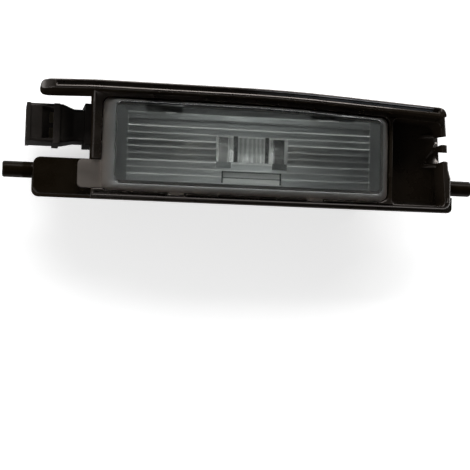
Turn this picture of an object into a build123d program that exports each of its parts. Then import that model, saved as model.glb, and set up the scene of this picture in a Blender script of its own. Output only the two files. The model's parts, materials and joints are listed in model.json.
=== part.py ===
from build123d import *
from math import cos, radians, sin, tan
import os

# A number plate lamp for a car, lying on its flat back with the lens up.
# X runs along the lamp, Y points to its flanged edge and Z points out of the lens.
# The origin is under the middle of the lamp, at the level of the back. Sizes are millimetres.

# Body
BODY_LENGTH = 96.0
BODY_HEIGHT = 25.2
WALL = 1.5
FLOOR = 1.8
FRAME_BACK = 10.0
FRAME_FRONT = 18.2
SIDE_LIP = 2.0
BOTTOM_LIP = 1.1
TOP_LIP = 1.0
CORE_CORNER = 0.6
EDGE_CHAMFER = 0.4

# Flange along the top edge, which bends down towards the right
FLANGE_THICKNESS = 2.05
FLANGE_FRONT = 21.5
FLANGE_OVERHANG = 11.75
FLANGE_DROOP = 2.0
FLANGE_END_RADIUS = 3.5
FLANGE_TIP_RADIUS = 0.95
FLANGE_END_SET = 0.9
FLANGE_GROOVE_OFFSET = 0.5
FLANGE_GROOVE_WIDTH = 0.75
FLANGE_GROOVE_DEPTH = 0.6
BEND_X = 8.0
BEND_ANGLE = 3.2
BEND_RADIUS = 400.0

# Lens
LENS_LENGTH = 66.1
LENS_GAP = 0.2
LENS_CORNER = 1.7
LENS_EDGE = 1.4
LENS_FRONT = 22.0
LENS_WALL = 1.4
LENS_FACE_THICKNESS = 1.8
LENS_DRAFT = 14.0
LENS_END_DRAFT = 29.0
LENS_CORE_DRAFT = 8.0
LENS_CORE_END_DRAFT = 20.0
LENS_FACE_ROUND = 1.0
LENS_BEVEL_TURN = 45.0
FIELD_LENGTH = 55.4
FIELD_INSET = 2.1
FIELD_MARGIN = 1.8
FLUTE_PITCH = 1.53
FLUTE_DEPTH = 0.15
LUG_LENGTH = 5.2
LUG_INSET = 0.35
LUG_HEIGHT = 6.25
LUG_CORNER = 1.0
TAB_LENGTH = 3.5
TAB_REACH = 0.6
TAB_SPACING = 32.0

# Prism window in the lens, in front of the bulb
WINDOW_X = 0.4
WINDOW_RISE = 0.2
WINDOW_LENGTH = 16.2
WINDOW_HEIGHT = 5.8
WINDOW_DEPTH = 0.8
PRISM_PITCH = 1.05
PRISM_COUNT = 6
PRISM_DEPTH = 0.12
GROOVE_WIDTH = 1.2
GROOVE_DEPTH = 0.15
RIDGE_WIDTH = 1.1
RIDGE_DEPTH = 1.15
BEVEL = 0.6
FOOT_LENGTH = 3.4
FOOT_DROP = 1.4
PAD_LENGTH = 13.0
PAD_HEIGHT = 2.7
PAD_GAP = 2.1

# Seal
LEDGE = 1.7
LEDGE_Z = 15.2
SEAL_THICKNESS = 0.8
SEAL_WIDTH = 1.0

# Right end: partition, pocket and slanted wall with its snap finger
PARTITION = 0.8
POCKET_FLOOR = 1.6
POCKET_CORNER = 1.2
POCKET_LIP = 0.55
END_WALL = 1.45
END_SLANT = 4.5
END_CORNER = 1.8
FINGER_RISE = 8.7
FINGER_WIDTH = 1.9
SLIT_WIDTH = 2.0
SLIT_REACH = 2.0
GUSSET_THICKNESS = 1.0
GUSSET_LENGTH = 3.2
GUSSET_HEIGHT = 1.8
STOP_REACH = 0.75
STOP_BACK = 15.3
STOP_THICKNESS = 1.5
STOP_CORNER = 1.0
STOP_RISE = 2.9

# Lower left block and the two pins
BLOCK_HEIGHT = 8.2
BLOCK_DROP = 3.0
BLOCK_CORNER = 1.6
PIN_DIAMETER = 3.6
PIN_LENGTH = 6.7
PIN_RISE = 5.4
PIN_SET = 3.0
PIN_CHAMFER = 0.3
PIN_PAD = 0.3
PIN_PAD_SLOPE = 2.0

# Plug socket
SOCKET_Z = 8.6
SOCKET_REACH = 14.5
SOCKET_HEAD_LENGTH = 8.1
SOCKET_HEIGHT = 8.8
SOCKET_DEPTH = 8.6
SOCKET_WALL = 0.9
SOCKET_CAVITY = 8.6
SOCKET_CORNER = 0.8
COLLAR_LENGTH = 1.5
COLLAR_RISE = 0.35
NECK_HEIGHT = 7.4
NECK_DEPTH = 7.0
NECK_DROP = 0.5
NECK_SLOPE_LENGTH = 2.6
SOCKET_FLANGE = 1.5
SOCKET_FLANGE_HEIGHT = 9.4
SOCKET_FLANGE_DEPTH = 9.6
SPIGOT_HEIGHT = 7.0
SPIGOT_DEPTH = 4.6
SPIGOT_GAP = 0.1
LATCH_WINDOW_LENGTH = 2.45
LATCH_WINDOW_START = 3.6

# Contact strips
STRIP_THICKNESS = 0.5
STRIP_WIDTH = 2.4
STRIP_BEND = 0.5
STRIP_GAP = 0.05
BLADE_SPACING = 3.6
BLADE_RECESS = 5.3
RISER_GAP = 0.1
RISER_FOOT = 2.0
JOG = 1.5
JOG_LENGTH = 3.0
LEAF_WIDTH = 7.0
LEAF_RISE = 3.9
LEAF_HOLE = 4.4
STAKE_WIDTH = 1.4
STAKE_GAP = 0.1
STAKE_RISE = 0.5
STAKE_INSET = 2.0

# Festoon bulb
BULB_LENGTH = 36.0
GLASS_DIAMETER = 10.0
GLASS_LENGTH = 25.0
GLASS_WALL = 0.7
GLASS_NECK_DIAMETER = 7.5
GLASS_SHOULDER = 3.0
CAP_DIAMETER = 8.5
CAP_LENGTH = 8.0
CAP_CONE_LENGTH = 4.0
CAP_TIP_DIAMETER = 3.0
CAP_GAP = 0.1
LEAD_DIAMETER = 0.5
LEAD_GAP = 0.1
FILAMENT_DIAMETER = 0.35
FILAMENT_SPAN = 9.0
FILAMENT_RISE = 1.0
FILAMENT_GAP = 0.1

# Reflector
REFLECTOR_LENGTH = 55.0
REFLECTOR_RADIUS = 7.0
REFLECTOR_WALL = 0.8
REFLECTOR_RIM = 0.9
REFLECTOR_SIDE_GAP = 0.35
REFLECTOR_DROP = 0.8
REFLECTOR_LIFT = 0.7
LEAF_SLOT_GAP = 0.5
SUPPORT_LENGTH = 1.4
SUPPORT_SPACING = 42.0
SUPPORT_GAP = 0.3

os.makedirs("parts", exist_ok=True)

# Stations worked out from the driving dimensions
half_length = BODY_LENGTH / 2
body_top = BODY_HEIGHT / 2
body_bottom = -body_top
lens_half = LENS_LENGTH / 2
opening_half = lens_half + LENS_GAP
opening_bottom = body_bottom + BOTTOM_LIP
opening_depth = FLANGE_THICKNESS + TOP_LIP
frame_left = -opening_half - SIDE_LIP
pocket_left = opening_half + PARTITION
chamber_half = opening_half - LEDGE
lens_base = LEDGE_Z + SEAL_THICKNESS
lens_bottom = opening_bottom + LENS_GAP
lens_inner_face = LENS_FRONT - LENS_FACE_THICKNESS
lug_bottom = lens_bottom + LUG_INSET
lug_middle = lug_bottom + LUG_HEIGHT / 2
pin_y = body_bottom + PIN_RISE
pin_z = FRAME_BACK + PIN_SET
block_top = body_bottom + BLOCK_HEIGHT
block_back = FRAME_BACK - BLOCK_DROP
finger_y = pin_y + FINGER_RISE
socket_mouth = frame_left - SOCKET_REACH
leaf_x = BULB_LENGTH / 2 - CAP_CONE_LENGTH * (LEAF_HOLE - 2 * STRIP_GAP - CAP_TIP_DIAMETER) / (
    CAP_DIAMETER - CAP_TIP_DIAMETER
)


def top_edge(depth, left, right):
    """Points along the flange's bent top edge, moved into the body by a depth."""
    turn = radians(BEND_ANGLE)
    level = body_top - depth
    corner = BEND_X - depth * tan(turn / 2)
    return [(left, level), (corner, level), (right, level - (right - corner) * tan(turn))]


def flange_edge(depth, left, right):
    """Points along the bent top edge, with the free overhang that droops a little on the left."""
    along = top_edge(depth, frame_left, right)
    drop = (frame_left - left) * tan(radians(FLANGE_DROOP))
    return [(left, along[0][1] - drop), *along]


def end_x(y, inset):
    """Place of the slanted right end at a height, moved into the body by an inset."""
    return half_length - inset - (y - pin_y) * tan(radians(END_SLANT))


def end_corner(depth, inset):
    """Point where the bent top edge meets the slanted right end."""
    turn = radians(BEND_ANGLE)
    start = top_edge(depth, 0, half_length)[1]
    slope = tan(turn)
    slant = tan(radians(END_SLANT))
    x = (end_x(start[1], inset) - slant * slope * start[0]) / (1 - slant * slope)
    return (x, start[1] - (x - start[0]) * slope)


def opening_panel(inset, corner, end_inset=0):
    """Face of the lens opening with rounded corners, moved in all round and further at both ends."""
    depth = opening_depth + inset
    side = opening_half - inset - end_inset
    bottom = opening_bottom + inset
    with BuildLine() as outline:
        FilletPolyline(
            (-side, bottom),
            *top_edge(depth, -side, side),
            (side, bottom),
            radius=[corner, corner, BEND_RADIUS - depth, corner, corner],
            close=True,
        )
    make_face(outline.edges())


# Reflector and bulb lie in the middle of the chamber, at the reflector's right end where it is lowest
reflector_end = REFLECTOR_LENGTH / 2
chamber_bottom = opening_bottom + LEDGE
chamber_top = top_edge(opening_depth + LEDGE, 0, reflector_end)[2][1]
bulb_y = (chamber_top + chamber_bottom) / 2
reflector_half = (chamber_top - chamber_bottom) / 2 - REFLECTOR_RIM - REFLECTOR_SIDE_GAP
reflector_top = LEDGE_Z - REFLECTOR_DROP
bulb_z = FLOOR + STRIP_THICKNESS + REFLECTOR_LIFT + REFLECTOR_RADIUS

# The prism window lies in front of the bulb, the pad below it
window_top = bulb_y + WINDOW_RISE + WINDOW_HEIGHT / 2
window_bottom = window_top - WINDOW_HEIGHT
pad_middle = window_bottom - PAD_GAP - PAD_HEIGHT / 2

# The contact strips run just inside the reflector's ribs, and the plug socket lies a jog above them
runs_middle = bulb_y + reflector_half - SUPPORT_GAP - (STRIP_WIDTH + BLADE_SPACING) / 2
socket_y = runs_middle + JOG
riser_x = -reflector_end - RISER_GAP - STRIP_THICKNESS / 2
jog_x = riser_x + RISER_FOOT


def strip_blade_y(side):
    """Middle of a contact strip's blade: side is -1 for the left strip, 1 for the right one."""
    return strip_run_y(side) + JOG


def strip_run_y(side):
    """Middle of a contact strip's run along the chamber floor."""
    return runs_middle + side * BLADE_SPACING / 2


def stake_points():
    """Places of the stakes that hold the contact strips down on the chamber floor."""
    return [
        (-leaf_x - STAKE_INSET, strip_run_y(-1)),
        (-leaf_x - STAKE_INSET, strip_run_y(1)),
        (leaf_x - STAKE_INSET, strip_run_y(1)),
    ]


def trough_face(inset):
    """Section of the reflector's trough, moved inwards by an inset, with a round bottom below the bulb."""
    half = reflector_half - inset
    with BuildLine() as outline:
        ThreePointArc(
            (bulb_y - half, bulb_z),
            (bulb_y, bulb_z - REFLECTOR_RADIUS + inset),
            (bulb_y + half, bulb_z),
        )
        Polyline(
            (bulb_y + half, bulb_z),
            (bulb_y + half, reflector_top),
            (bulb_y - half, reflector_top),
            (bulb_y - half, bulb_z),
        )
    make_face(outline.edges())


# Housing: lip frame, flange, chamber, pocket, lower left block and pins in one moulding
with BuildPart() as housing:
    # Frame round the lens and the pocket, thicker at its right end where the pin stands
    with BuildSketch(Plane.XY.offset(FRAME_BACK)):
        with BuildLine():
            pad_top = pin_y + PIN_DIAMETER / 2
            slope_top = pad_top + PIN_PAD_SLOPE
            FilletPolyline(
                (frame_left, body_bottom),
                *top_edge(0, frame_left, half_length)[:2],
                end_corner(0, 0),
                (end_x(slope_top, 0), slope_top),
                (half_length + PIN_PAD, pad_top),
                (half_length + PIN_PAD, body_bottom),
                radius=[0, 0, BEND_RADIUS, END_CORNER, 0, 0, END_CORNER],
                close=True,
            )
        make_face()
    extrude(amount=FRAME_FRONT - FRAME_BACK)
    chamfer(housing.edges().group_by(Axis.Z)[-1], EDGE_CHAMFER)

    # Flange plate with its free overhang on the left, rounded at the end
    with BuildSketch(Plane.XY.offset(FRAME_BACK)):
        with BuildLine():
            flange_left = frame_left - FLANGE_OVERHANG
            lower = flange_edge(FLANGE_THICKNESS, flange_left, half_length)[:-1]
            tip = FLANGE_TIP_RADIUS
            FilletPolyline(
                *flange_edge(0, flange_left, half_length)[:-1],
                end_corner(0, FLANGE_END_SET),
                end_corner(FLANGE_THICKNESS, FLANGE_END_SET),
                *reversed(lower),
                radius=[tip, 0, BEND_RADIUS, END_CORNER, 0, BEND_RADIUS - FLANGE_THICKNESS, 0, tip],
                close=True,
            )
        make_face()
    extrude(amount=FLANGE_FRONT - FRAME_BACK)
    for edge, inward in ((FRAME_BACK, FLANGE_END_RADIUS), (FLANGE_FRONT, -FLANGE_END_RADIUS)):
        with BuildSketch(Plane.XZ.offset(-body_top)):
            with BuildLine():
                corner = (flange_left, edge)
                round_start = (flange_left, edge + inward)
                round_end = (flange_left + FLANGE_END_RADIUS, edge)
                TangentArc(round_start, round_end, tangent=(0, -inward))
                Polyline(round_end, corner, round_start)
            make_face()
        extrude(amount=body_top - lower[0][1], mode=Mode.SUBTRACT)

    # Groove along the front of the flange
    with BuildSketch(Plane.XY.offset(FLANGE_FRONT)):
        with BuildLine():
            inner = FLANGE_GROOVE_OFFSET + FLANGE_GROOVE_WIDTH
            groove_left = flange_left + FLANGE_END_RADIUS
            groove_right = end_corner(0, FLANGE_END_SET)[0] - END_CORNER
            FilletPolyline(
                *flange_edge(FLANGE_GROOVE_OFFSET, groove_left, groove_right),
                *reversed(flange_edge(inner, groove_left, groove_right)),
                radius=[0, 0, BEND_RADIUS - FLANGE_GROOVE_OFFSET, 0, 0, BEND_RADIUS - inner, 0, 0],
                close=True,
            )
        make_face()
    extrude(amount=-FLANGE_GROOVE_DEPTH, mode=Mode.SUBTRACT)

    # Chamber behind the lens
    with BuildSketch(Plane.XY):
        opening_panel(LEDGE - WALL, LENS_CORNER)
    extrude(amount=FRAME_BACK)
    chamfer(housing.edges().group_by(Axis.Z)[0], EDGE_CHAMFER)

    # Boss on the left end, where the plug socket seats
    with BuildSketch(Plane.YZ.offset(frame_left)):
        with Locations((socket_y, (SOCKET_Z - SOCKET_FLANGE_DEPTH / 2 + FRAME_BACK) / 2)):
            Rectangle(SOCKET_FLANGE_HEIGHT, FRAME_BACK - SOCKET_Z + SOCKET_FLANGE_DEPTH / 2)
    extrude(amount=SIDE_LIP + LEDGE)

    # Lower left block, hollow from the back
    block_depth = lens_base - block_back
    with BuildSketch(Plane.XY.offset(block_back)):
        with BuildLine():
            FilletPolyline(
                (-half_length, body_bottom),
                (-half_length, block_top),
                (-chamber_half, block_top),
                (-chamber_half, body_bottom),
                radius=[BLOCK_CORNER, BLOCK_CORNER, 0, 0],
                close=True,
            )
        make_face()
    extrude(amount=block_depth)
    with BuildSketch(Plane.XY.offset(block_back)):
        with BuildLine():
            FilletPolyline(
                (-half_length + WALL, body_bottom + WALL),
                (-half_length + WALL, block_top - WALL),
                (frame_left - WALL, block_top - WALL),
                (frame_left - WALL, body_bottom + WALL),
                radius=CORE_CORNER,
                close=True,
            )
        make_face()
    extrude(amount=block_depth - WALL, mode=Mode.SUBTRACT)

    # Lens opening, ledge and chamber cavity
    with BuildSketch(Plane.XY.offset(LEDGE_Z)):
        opening_panel(0, LENS_CORNER + LENS_GAP)
    extrude(amount=FLANGE_FRONT - LEDGE_Z, mode=Mode.SUBTRACT)
    with BuildSketch(Plane.XY.offset(FLOOR)):
        opening_panel(LEDGE, CORE_CORNER)
    extrude(amount=LEDGE_Z - FLOOR, mode=Mode.SUBTRACT)

    # Ribs that carry the rims of the reflector
    with BuildSketch(Plane.XY.offset(FLOOR)):
        opening_panel(LEDGE, CORE_CORNER)
        with Locations((0, bulb_y)):
            Rectangle(BODY_LENGTH, 2 * (reflector_half + SUPPORT_GAP), mode=Mode.SUBTRACT)
        with GridLocations(SUPPORT_SPACING, 0, 2, 1):
            Rectangle(SUPPORT_LENGTH, BODY_HEIGHT, mode=Mode.INTERSECT)
    extrude(amount=reflector_top - REFLECTOR_WALL - FLOOR)

    # Stakes for the contact strips
    with BuildSketch(Plane.XY.offset(FLOOR)):
        with Locations(*stake_points()):
            Rectangle(STAKE_WIDTH, STAKE_WIDTH)
    extrude(amount=STRIP_THICKNESS + STAKE_RISE)

    # Way through the end wall for the spigot of the plug socket
    with BuildSketch(Plane.YZ.offset(frame_left)):
        with Locations((socket_y, SOCKET_Z)):
            Rectangle(SPIGOT_HEIGHT + 2 * SPIGOT_GAP, SPIGOT_DEPTH + 2 * SPIGOT_GAP)
    extrude(amount=SIDE_LIP + LEDGE, mode=Mode.SUBTRACT)

    # Stop lip along the bottom edge and round the lower right corner
    with BuildSketch(Plane.XY.offset(STOP_BACK)):
        with BuildLine():
            stop_right = half_length + PIN_PAD + STOP_REACH
            stop_bottom = body_bottom - STOP_REACH
            stop_top = body_bottom + STOP_RISE
            stop_inside = half_length + PIN_PAD - END_WALL / 2
            FilletPolyline(
                (frame_left, stop_bottom),
                (stop_right, stop_bottom),
                (stop_right, stop_top),
                (stop_inside, stop_top),
                (stop_inside, body_bottom + POCKET_LIP / 2),
                (frame_left, body_bottom + POCKET_LIP / 2),
                radius=[0, STOP_CORNER, 0, 0, 0, 0],
                close=True,
            )
        make_face()
    extrude(amount=STOP_THICKNESS)

    # Pocket at the right end
    pocket_base = FRAME_BACK + POCKET_FLOOR
    pocket_bottom = body_bottom + POCKET_LIP
    with BuildSketch(Plane.XY.offset(pocket_base)):
        with BuildLine():
            FilletPolyline(
                (pocket_left, pocket_bottom),
                (pocket_left, top_edge(opening_depth, 0, pocket_left)[2][1]),
                end_corner(opening_depth, END_WALL),
                (end_x(pocket_bottom, END_WALL), pocket_bottom),
                radius=POCKET_CORNER,
                close=True,
            )
        make_face()
    extrude(amount=FLANGE_FRONT - pocket_base, mode=Mode.SUBTRACT)

    # Gussets beside the snap finger
    slit_offset = (FINGER_WIDTH + SLIT_WIDTH) / 2
    gusset_offset = slit_offset + (SLIT_WIDTH + GUSSET_THICKNESS) / 2
    gusset_top = pocket_base + GUSSET_HEIGHT
    for side in (-1, 1):
        gusset_y = finger_y + side * gusset_offset
        with BuildSketch(Plane.XZ.offset(-gusset_y)):
            gusset_right = end_x(gusset_y, END_WALL / 2)
            gusset_left = gusset_right - END_WALL / 2 - GUSSET_LENGTH
            with BuildLine():
                Polyline(
                    (gusset_left, pocket_base),
                    (gusset_right - END_WALL / 2, gusset_top),
                    (gusset_right, gusset_top),
                    (gusset_right, pocket_base),
                    close=True,
                )
            make_face()
        extrude(amount=GUSSET_THICKNESS / 2, both=True)

    # Slits that free the snap finger, down to the pocket's floor
    with BuildSketch(Plane.XY.offset(pocket_base)):
        with Locations((end_x(finger_y, 0), finger_y)):
            with GridLocations(0, 2 * slit_offset, 1, 2):
                Rectangle(2 * SLIT_REACH, SLIT_WIDTH)
    extrude(amount=FRAME_FRONT - pocket_base, mode=Mode.SUBTRACT)

    # Notches in the lip for the lug and the tabs of the lens
    with BuildSketch(Plane.XY.offset(lens_base)):
        with Locations((-opening_half, lug_middle)):
            Rectangle(2 * (SIDE_LIP + LENS_GAP), LUG_HEIGHT + 2 * LENS_GAP)
        with Locations((0, opening_bottom)):
            with GridLocations(TAB_SPACING, 0, 2, 1):
                Rectangle(TAB_LENGTH + 2 * LENS_GAP, 2 * TAB_REACH)
    extrude(amount=FRAME_FRONT - lens_base, mode=Mode.SUBTRACT)

    # Pins at both ends
    for side, root in ((-1, WALL / 2), (1, END_WALL / 2)):
        with BuildSketch(Plane.YZ.offset(side * (half_length - root))):
            with Locations((pin_y, pin_z)):
                Circle(PIN_DIAMETER / 2)
        extrude(amount=side * (PIN_LENGTH + root))
    chamfer(housing.edges().group_by(Axis.X)[0] + housing.edges().group_by(Axis.X)[-1], PIN_CHAMFER)

housing.part.label = "housing"
export_step(housing.part, "parts/housing.step")

# Lens: shallow drafted pan with flutes, prism window, pad, lug and tabs
with BuildPart() as lens:
    # Pan with an upright edge, drafted sides and a face rounded in two bevels
    with BuildSketch(Plane.XY.offset(lens_base)):
        opening_panel(LENS_GAP, LENS_CORNER)
    extrude(amount=LENS_EDGE)
    pan_height = LENS_FRONT - LENS_FACE_ROUND - lens_base - LENS_EDGE
    pan_inset = LENS_GAP + pan_height * tan(radians(LENS_DRAFT))
    pan_end_inset = LENS_GAP + pan_height * tan(radians(LENS_END_DRAFT)) - pan_inset
    bevel_turn = radians(LENS_BEVEL_TURN)
    with BuildSketch(Plane.XY.offset(lens_base + LENS_EDGE)):
        opening_panel(LENS_GAP, LENS_CORNER)
    with BuildSketch(Plane.XY.offset(LENS_FRONT - LENS_FACE_ROUND)):
        opening_panel(pan_inset, LENS_CORNER, pan_end_inset)
    with BuildSketch(Plane.XY.offset(LENS_FRONT - LENS_FACE_ROUND * (1 - sin(bevel_turn)))):
        opening_panel(pan_inset + LENS_FACE_ROUND * (1 - cos(bevel_turn)), LENS_CORNER, pan_end_inset)
    with BuildSketch(Plane.XY.offset(LENS_FRONT)):
        opening_panel(pan_inset + LENS_FACE_ROUND, LENS_CORNER, pan_end_inset)
    loft(ruled=True)

    # Hollow of the pan
    core_inset = LENS_GAP + LENS_WALL
    core_height = lens_inner_face - lens_base
    core_draft = core_height * tan(radians(LENS_CORE_DRAFT))
    core_end_draft = core_height * tan(radians(LENS_CORE_END_DRAFT))
    with BuildSketch(Plane.XY.offset(lens_base)):
        opening_panel(core_inset, CORE_CORNER)
    with BuildSketch(Plane.XY.offset(lens_inner_face)):
        opening_panel(core_inset + core_draft, CORE_CORNER, core_end_draft - core_draft)
    loft(ruled=True, mode=Mode.SUBTRACT)

    # Flutes along the lens, on its inner face
    field_bottom = lens_bottom + FIELD_INSET
    field_room = top_edge(opening_depth + LENS_GAP, 0, FIELD_LENGTH / 2)[2][1] - FIELD_MARGIN - field_bottom
    flute_count = int(field_room / FLUTE_PITCH)
    field_top = field_bottom + flute_count * FLUTE_PITCH
    with BuildSketch(Plane.YZ.offset(-FIELD_LENGTH / 2)):
        with BuildLine():
            for flute in range(flute_count):
                start = field_bottom + flute * FLUTE_PITCH
                SagittaArc((start, lens_inner_face), (start + FLUTE_PITCH, lens_inner_face), -FLUTE_DEPTH)
            Polyline(
                (field_top, lens_inner_face),
                (field_top, lens_inner_face + FLUTE_DEPTH),
                (field_bottom, lens_inner_face + FLUTE_DEPTH),
                (field_bottom, lens_inner_face),
            )
        make_face()
    extrude(amount=FIELD_LENGTH)

    # Clear the flutes behind the window and the pad
    with BuildSketch(Plane.XY.offset(lens_inner_face)):
        with Locations((WINDOW_X, window_top - WINDOW_HEIGHT / 2)):
            Rectangle(WINDOW_LENGTH, WINDOW_HEIGHT)
        with Locations((WINDOW_X, pad_middle)):
            Rectangle(PAD_LENGTH + 2 * BEVEL, PAD_HEIGHT)
    extrude(amount=-FLUTE_DEPTH, mode=Mode.SUBTRACT)

    # Prism window
    with BuildSketch(Plane(origin=(WINDOW_X, window_top, 0), x_dir=(1, 0, 0), z_dir=(0, -1, 0))):
        prism_half = PRISM_COUNT * PRISM_PITCH / 2
        groove_end = prism_half + GROOVE_WIDTH
        ridge_end = groove_end + RIDGE_WIDTH
        window_half = WINDOW_LENGTH / 2
        prism_base = lens_inner_face - GROOVE_DEPTH
        with BuildLine():
            for prism in range(PRISM_COUNT):
                start = -prism_half + prism * PRISM_PITCH
                SagittaArc((start, prism_base), (start + PRISM_PITCH, prism_base), -PRISM_DEPTH)
            for side in (-1, 1):
                ThreePointArc(
                    (side * groove_end, prism_base),
                    (side * (groove_end + ridge_end) / 2, lens_inner_face - RIDGE_DEPTH),
                    (side * ridge_end, lens_inner_face - WINDOW_DEPTH),
                )
                Line((side * prism_half, prism_base), (side * groove_end, prism_base))
                Polyline(
                    (side * ridge_end, lens_inner_face - WINDOW_DEPTH),
                    (side * (window_half - BEVEL), lens_inner_face - WINDOW_DEPTH),
                    (side * window_half, prism_base),
                    (side * window_half, lens_inner_face + FLUTE_DEPTH),
                )
            Line((-window_half, lens_inner_face + FLUTE_DEPTH), (window_half, lens_inner_face + FLUTE_DEPTH))
        make_face()
    extrude(amount=WINDOW_HEIGHT)

    # Feet under the window and the pad below it
    with BuildSketch(Plane.XY.offset(lens_inner_face)):
        with Locations((WINDOW_X, window_bottom - FOOT_DROP / 2)):
            with GridLocations(WINDOW_LENGTH - FOOT_LENGTH, 0, 2, 1):
                Rectangle(FOOT_LENGTH, FOOT_DROP)
        with Locations((WINDOW_X, pad_middle)):
            Rectangle(PAD_LENGTH, PAD_HEIGHT)
    extrude(amount=-WINDOW_DEPTH)

    # Lug at the lower left and tabs along the bottom edge
    with BuildSketch(Plane.XY.offset(lens_base)):
        with BuildLine():
            FilletPolyline(
                (-lens_half - LUG_LENGTH, lug_bottom),
                (-lens_half - LUG_LENGTH, lug_bottom + LUG_HEIGHT),
                (-lens_half + LENS_WALL / 2, lug_bottom + LUG_HEIGHT),
                (-lens_half + LENS_WALL / 2, lug_bottom),
                radius=[LUG_CORNER, LUG_CORNER, 0, 0],
                close=True,
            )
        make_face()
        with Locations((0, lens_bottom)):
            with GridLocations(TAB_SPACING, 0, 2, 1):
                Rectangle(TAB_LENGTH, 2 * TAB_REACH)
    extrude(amount=LENS_EDGE)

lens.part.label = "lens"
export_step(lens.part, "parts/lens.step")

# Seal: flat ring between the ledge and the edge of the lens
with BuildPart() as lens_seal:
    seal_inset = LENS_GAP + (LENS_WALL - SEAL_WIDTH) / 2
    with BuildSketch(Plane.XY.offset(LEDGE_Z)):
        opening_panel(seal_inset, LENS_CORNER)
    extrude(amount=SEAL_THICKNESS)
    with BuildSketch(Plane.XY.offset(LEDGE_Z)):
        opening_panel(seal_inset + SEAL_WIDTH, CORE_CORNER)
    extrude(amount=SEAL_THICKNESS, mode=Mode.SUBTRACT)

lens_seal.part.label = "lens_seal"
export_step(lens_seal.part, "parts/lens_seal.step")

# Reflector: thin trough round the bulb with a rim on both long sides and slots for the bulb contacts
with BuildPart() as reflector:
    with BuildSketch(Plane.YZ.offset(-reflector_end)):
        trough_face(0)
        with Locations((bulb_y, reflector_top - REFLECTOR_WALL / 2)):
            Rectangle(2 * (reflector_half + REFLECTOR_RIM), REFLECTOR_WALL)
    extrude(amount=REFLECTOR_LENGTH)
    with BuildSketch(Plane.YZ.offset(-reflector_end + REFLECTOR_WALL)):
        trough_face(REFLECTOR_WALL)
    extrude(amount=REFLECTOR_LENGTH - 2 * REFLECTOR_WALL, mode=Mode.SUBTRACT)
    with BuildSketch(Plane.XY):
        slot_bottom = bulb_y - LEAF_WIDTH / 2 - LEAF_SLOT_GAP
        for side in (-1, 1):
            slot_top = strip_run_y(side) + STRIP_WIDTH / 2 + LEAF_SLOT_GAP
            with Locations((side * (leaf_x + STRIP_THICKNESS / 2), (slot_top + slot_bottom) / 2)):
                Rectangle(STRIP_THICKNESS + 2 * LEAF_SLOT_GAP, slot_top - slot_bottom)
    extrude(amount=bulb_z, mode=Mode.SUBTRACT)

reflector.part.label = "reflector"
export_step(reflector.part, "parts/reflector.step")

# Contact strips: plug blade, riser, floor run and spring leaf with a hole for the bulb cap
for name, side in (("contact_strip_left", -1), ("contact_strip_right", 1)):
    blade_y = strip_blade_y(side)
    run_y = strip_run_y(side)
    leaf_inner = side * leaf_x
    leaf_middle = leaf_inner + side * STRIP_THICKNESS / 2
    blade_tip = socket_mouth + BLADE_RECESS
    with BuildPart() as strip:
        # Blade and riser, folded from one strip
        with BuildSketch(Plane.XZ.offset(-blade_y)):
            with BuildLine():
                FilletPolyline(
                    (blade_tip, SOCKET_Z),
                    (riser_x, SOCKET_Z),
                    (riser_x, FLOOR + STRIP_THICKNESS / 2),
                    (jog_x, FLOOR + STRIP_THICKNESS / 2),
                    radius=STRIP_BEND,
                )
            trace(line_width=STRIP_THICKNESS)
        extrude(amount=STRIP_WIDTH / 2, both=True)

        # Flat run along the chamber floor
        with BuildSketch(Plane.XY.offset(FLOOR)):
            with BuildLine():
                FilletPolyline(
                    (jog_x, blade_y),
                    (jog_x + STRIP_WIDTH / 2, blade_y),
                    (jog_x + STRIP_WIDTH / 2 + JOG_LENGTH, run_y),
                    (leaf_inner, run_y),
                    radius=STRIP_WIDTH,
                )
            trace(line_width=STRIP_WIDTH)
            with Locations(*stake_points()):
                Rectangle(STAKE_WIDTH + 2 * STAKE_GAP, STAKE_WIDTH + 2 * STAKE_GAP, mode=Mode.SUBTRACT)
        extrude(amount=STRIP_THICKNESS)

        # Spring leaf that holds the bulb cap
        with BuildSketch(Plane.YZ.offset(leaf_middle)):
            with BuildLine():
                foot_right = run_y + STRIP_WIDTH / 2
                leaf_left = bulb_y - LEAF_WIDTH / 2
                leaf_right = bulb_y + LEAF_WIDTH / 2
                leaf_top = bulb_z + LEAF_RISE
                FilletPolyline(
                    (run_y - STRIP_WIDTH / 2, FLOOR),
                    (run_y - STRIP_WIDTH / 2, FLOOR + STRIP_WIDTH),
                    (leaf_left, FLOOR + STRIP_WIDTH),
                    (leaf_left, leaf_top),
                    (leaf_right, leaf_top),
                    (leaf_right, FLOOR + 2 * STRIP_WIDTH),
                    (foot_right, FLOOR + STRIP_WIDTH),
                    (foot_right, FLOOR),
                    radius=[0, 0, 0, STRIP_WIDTH, STRIP_WIDTH, 0, 0, 0],
                    close=True,
                )
            make_face()
            with Locations((bulb_y, bulb_z)):
                Circle(LEAF_HOLE / 2, mode=Mode.SUBTRACT)
        extrude(amount=STRIP_THICKNESS / 2, both=True)

    strip.part.label = name
    export_step(strip.part, f"parts/{name}.step")

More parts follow.
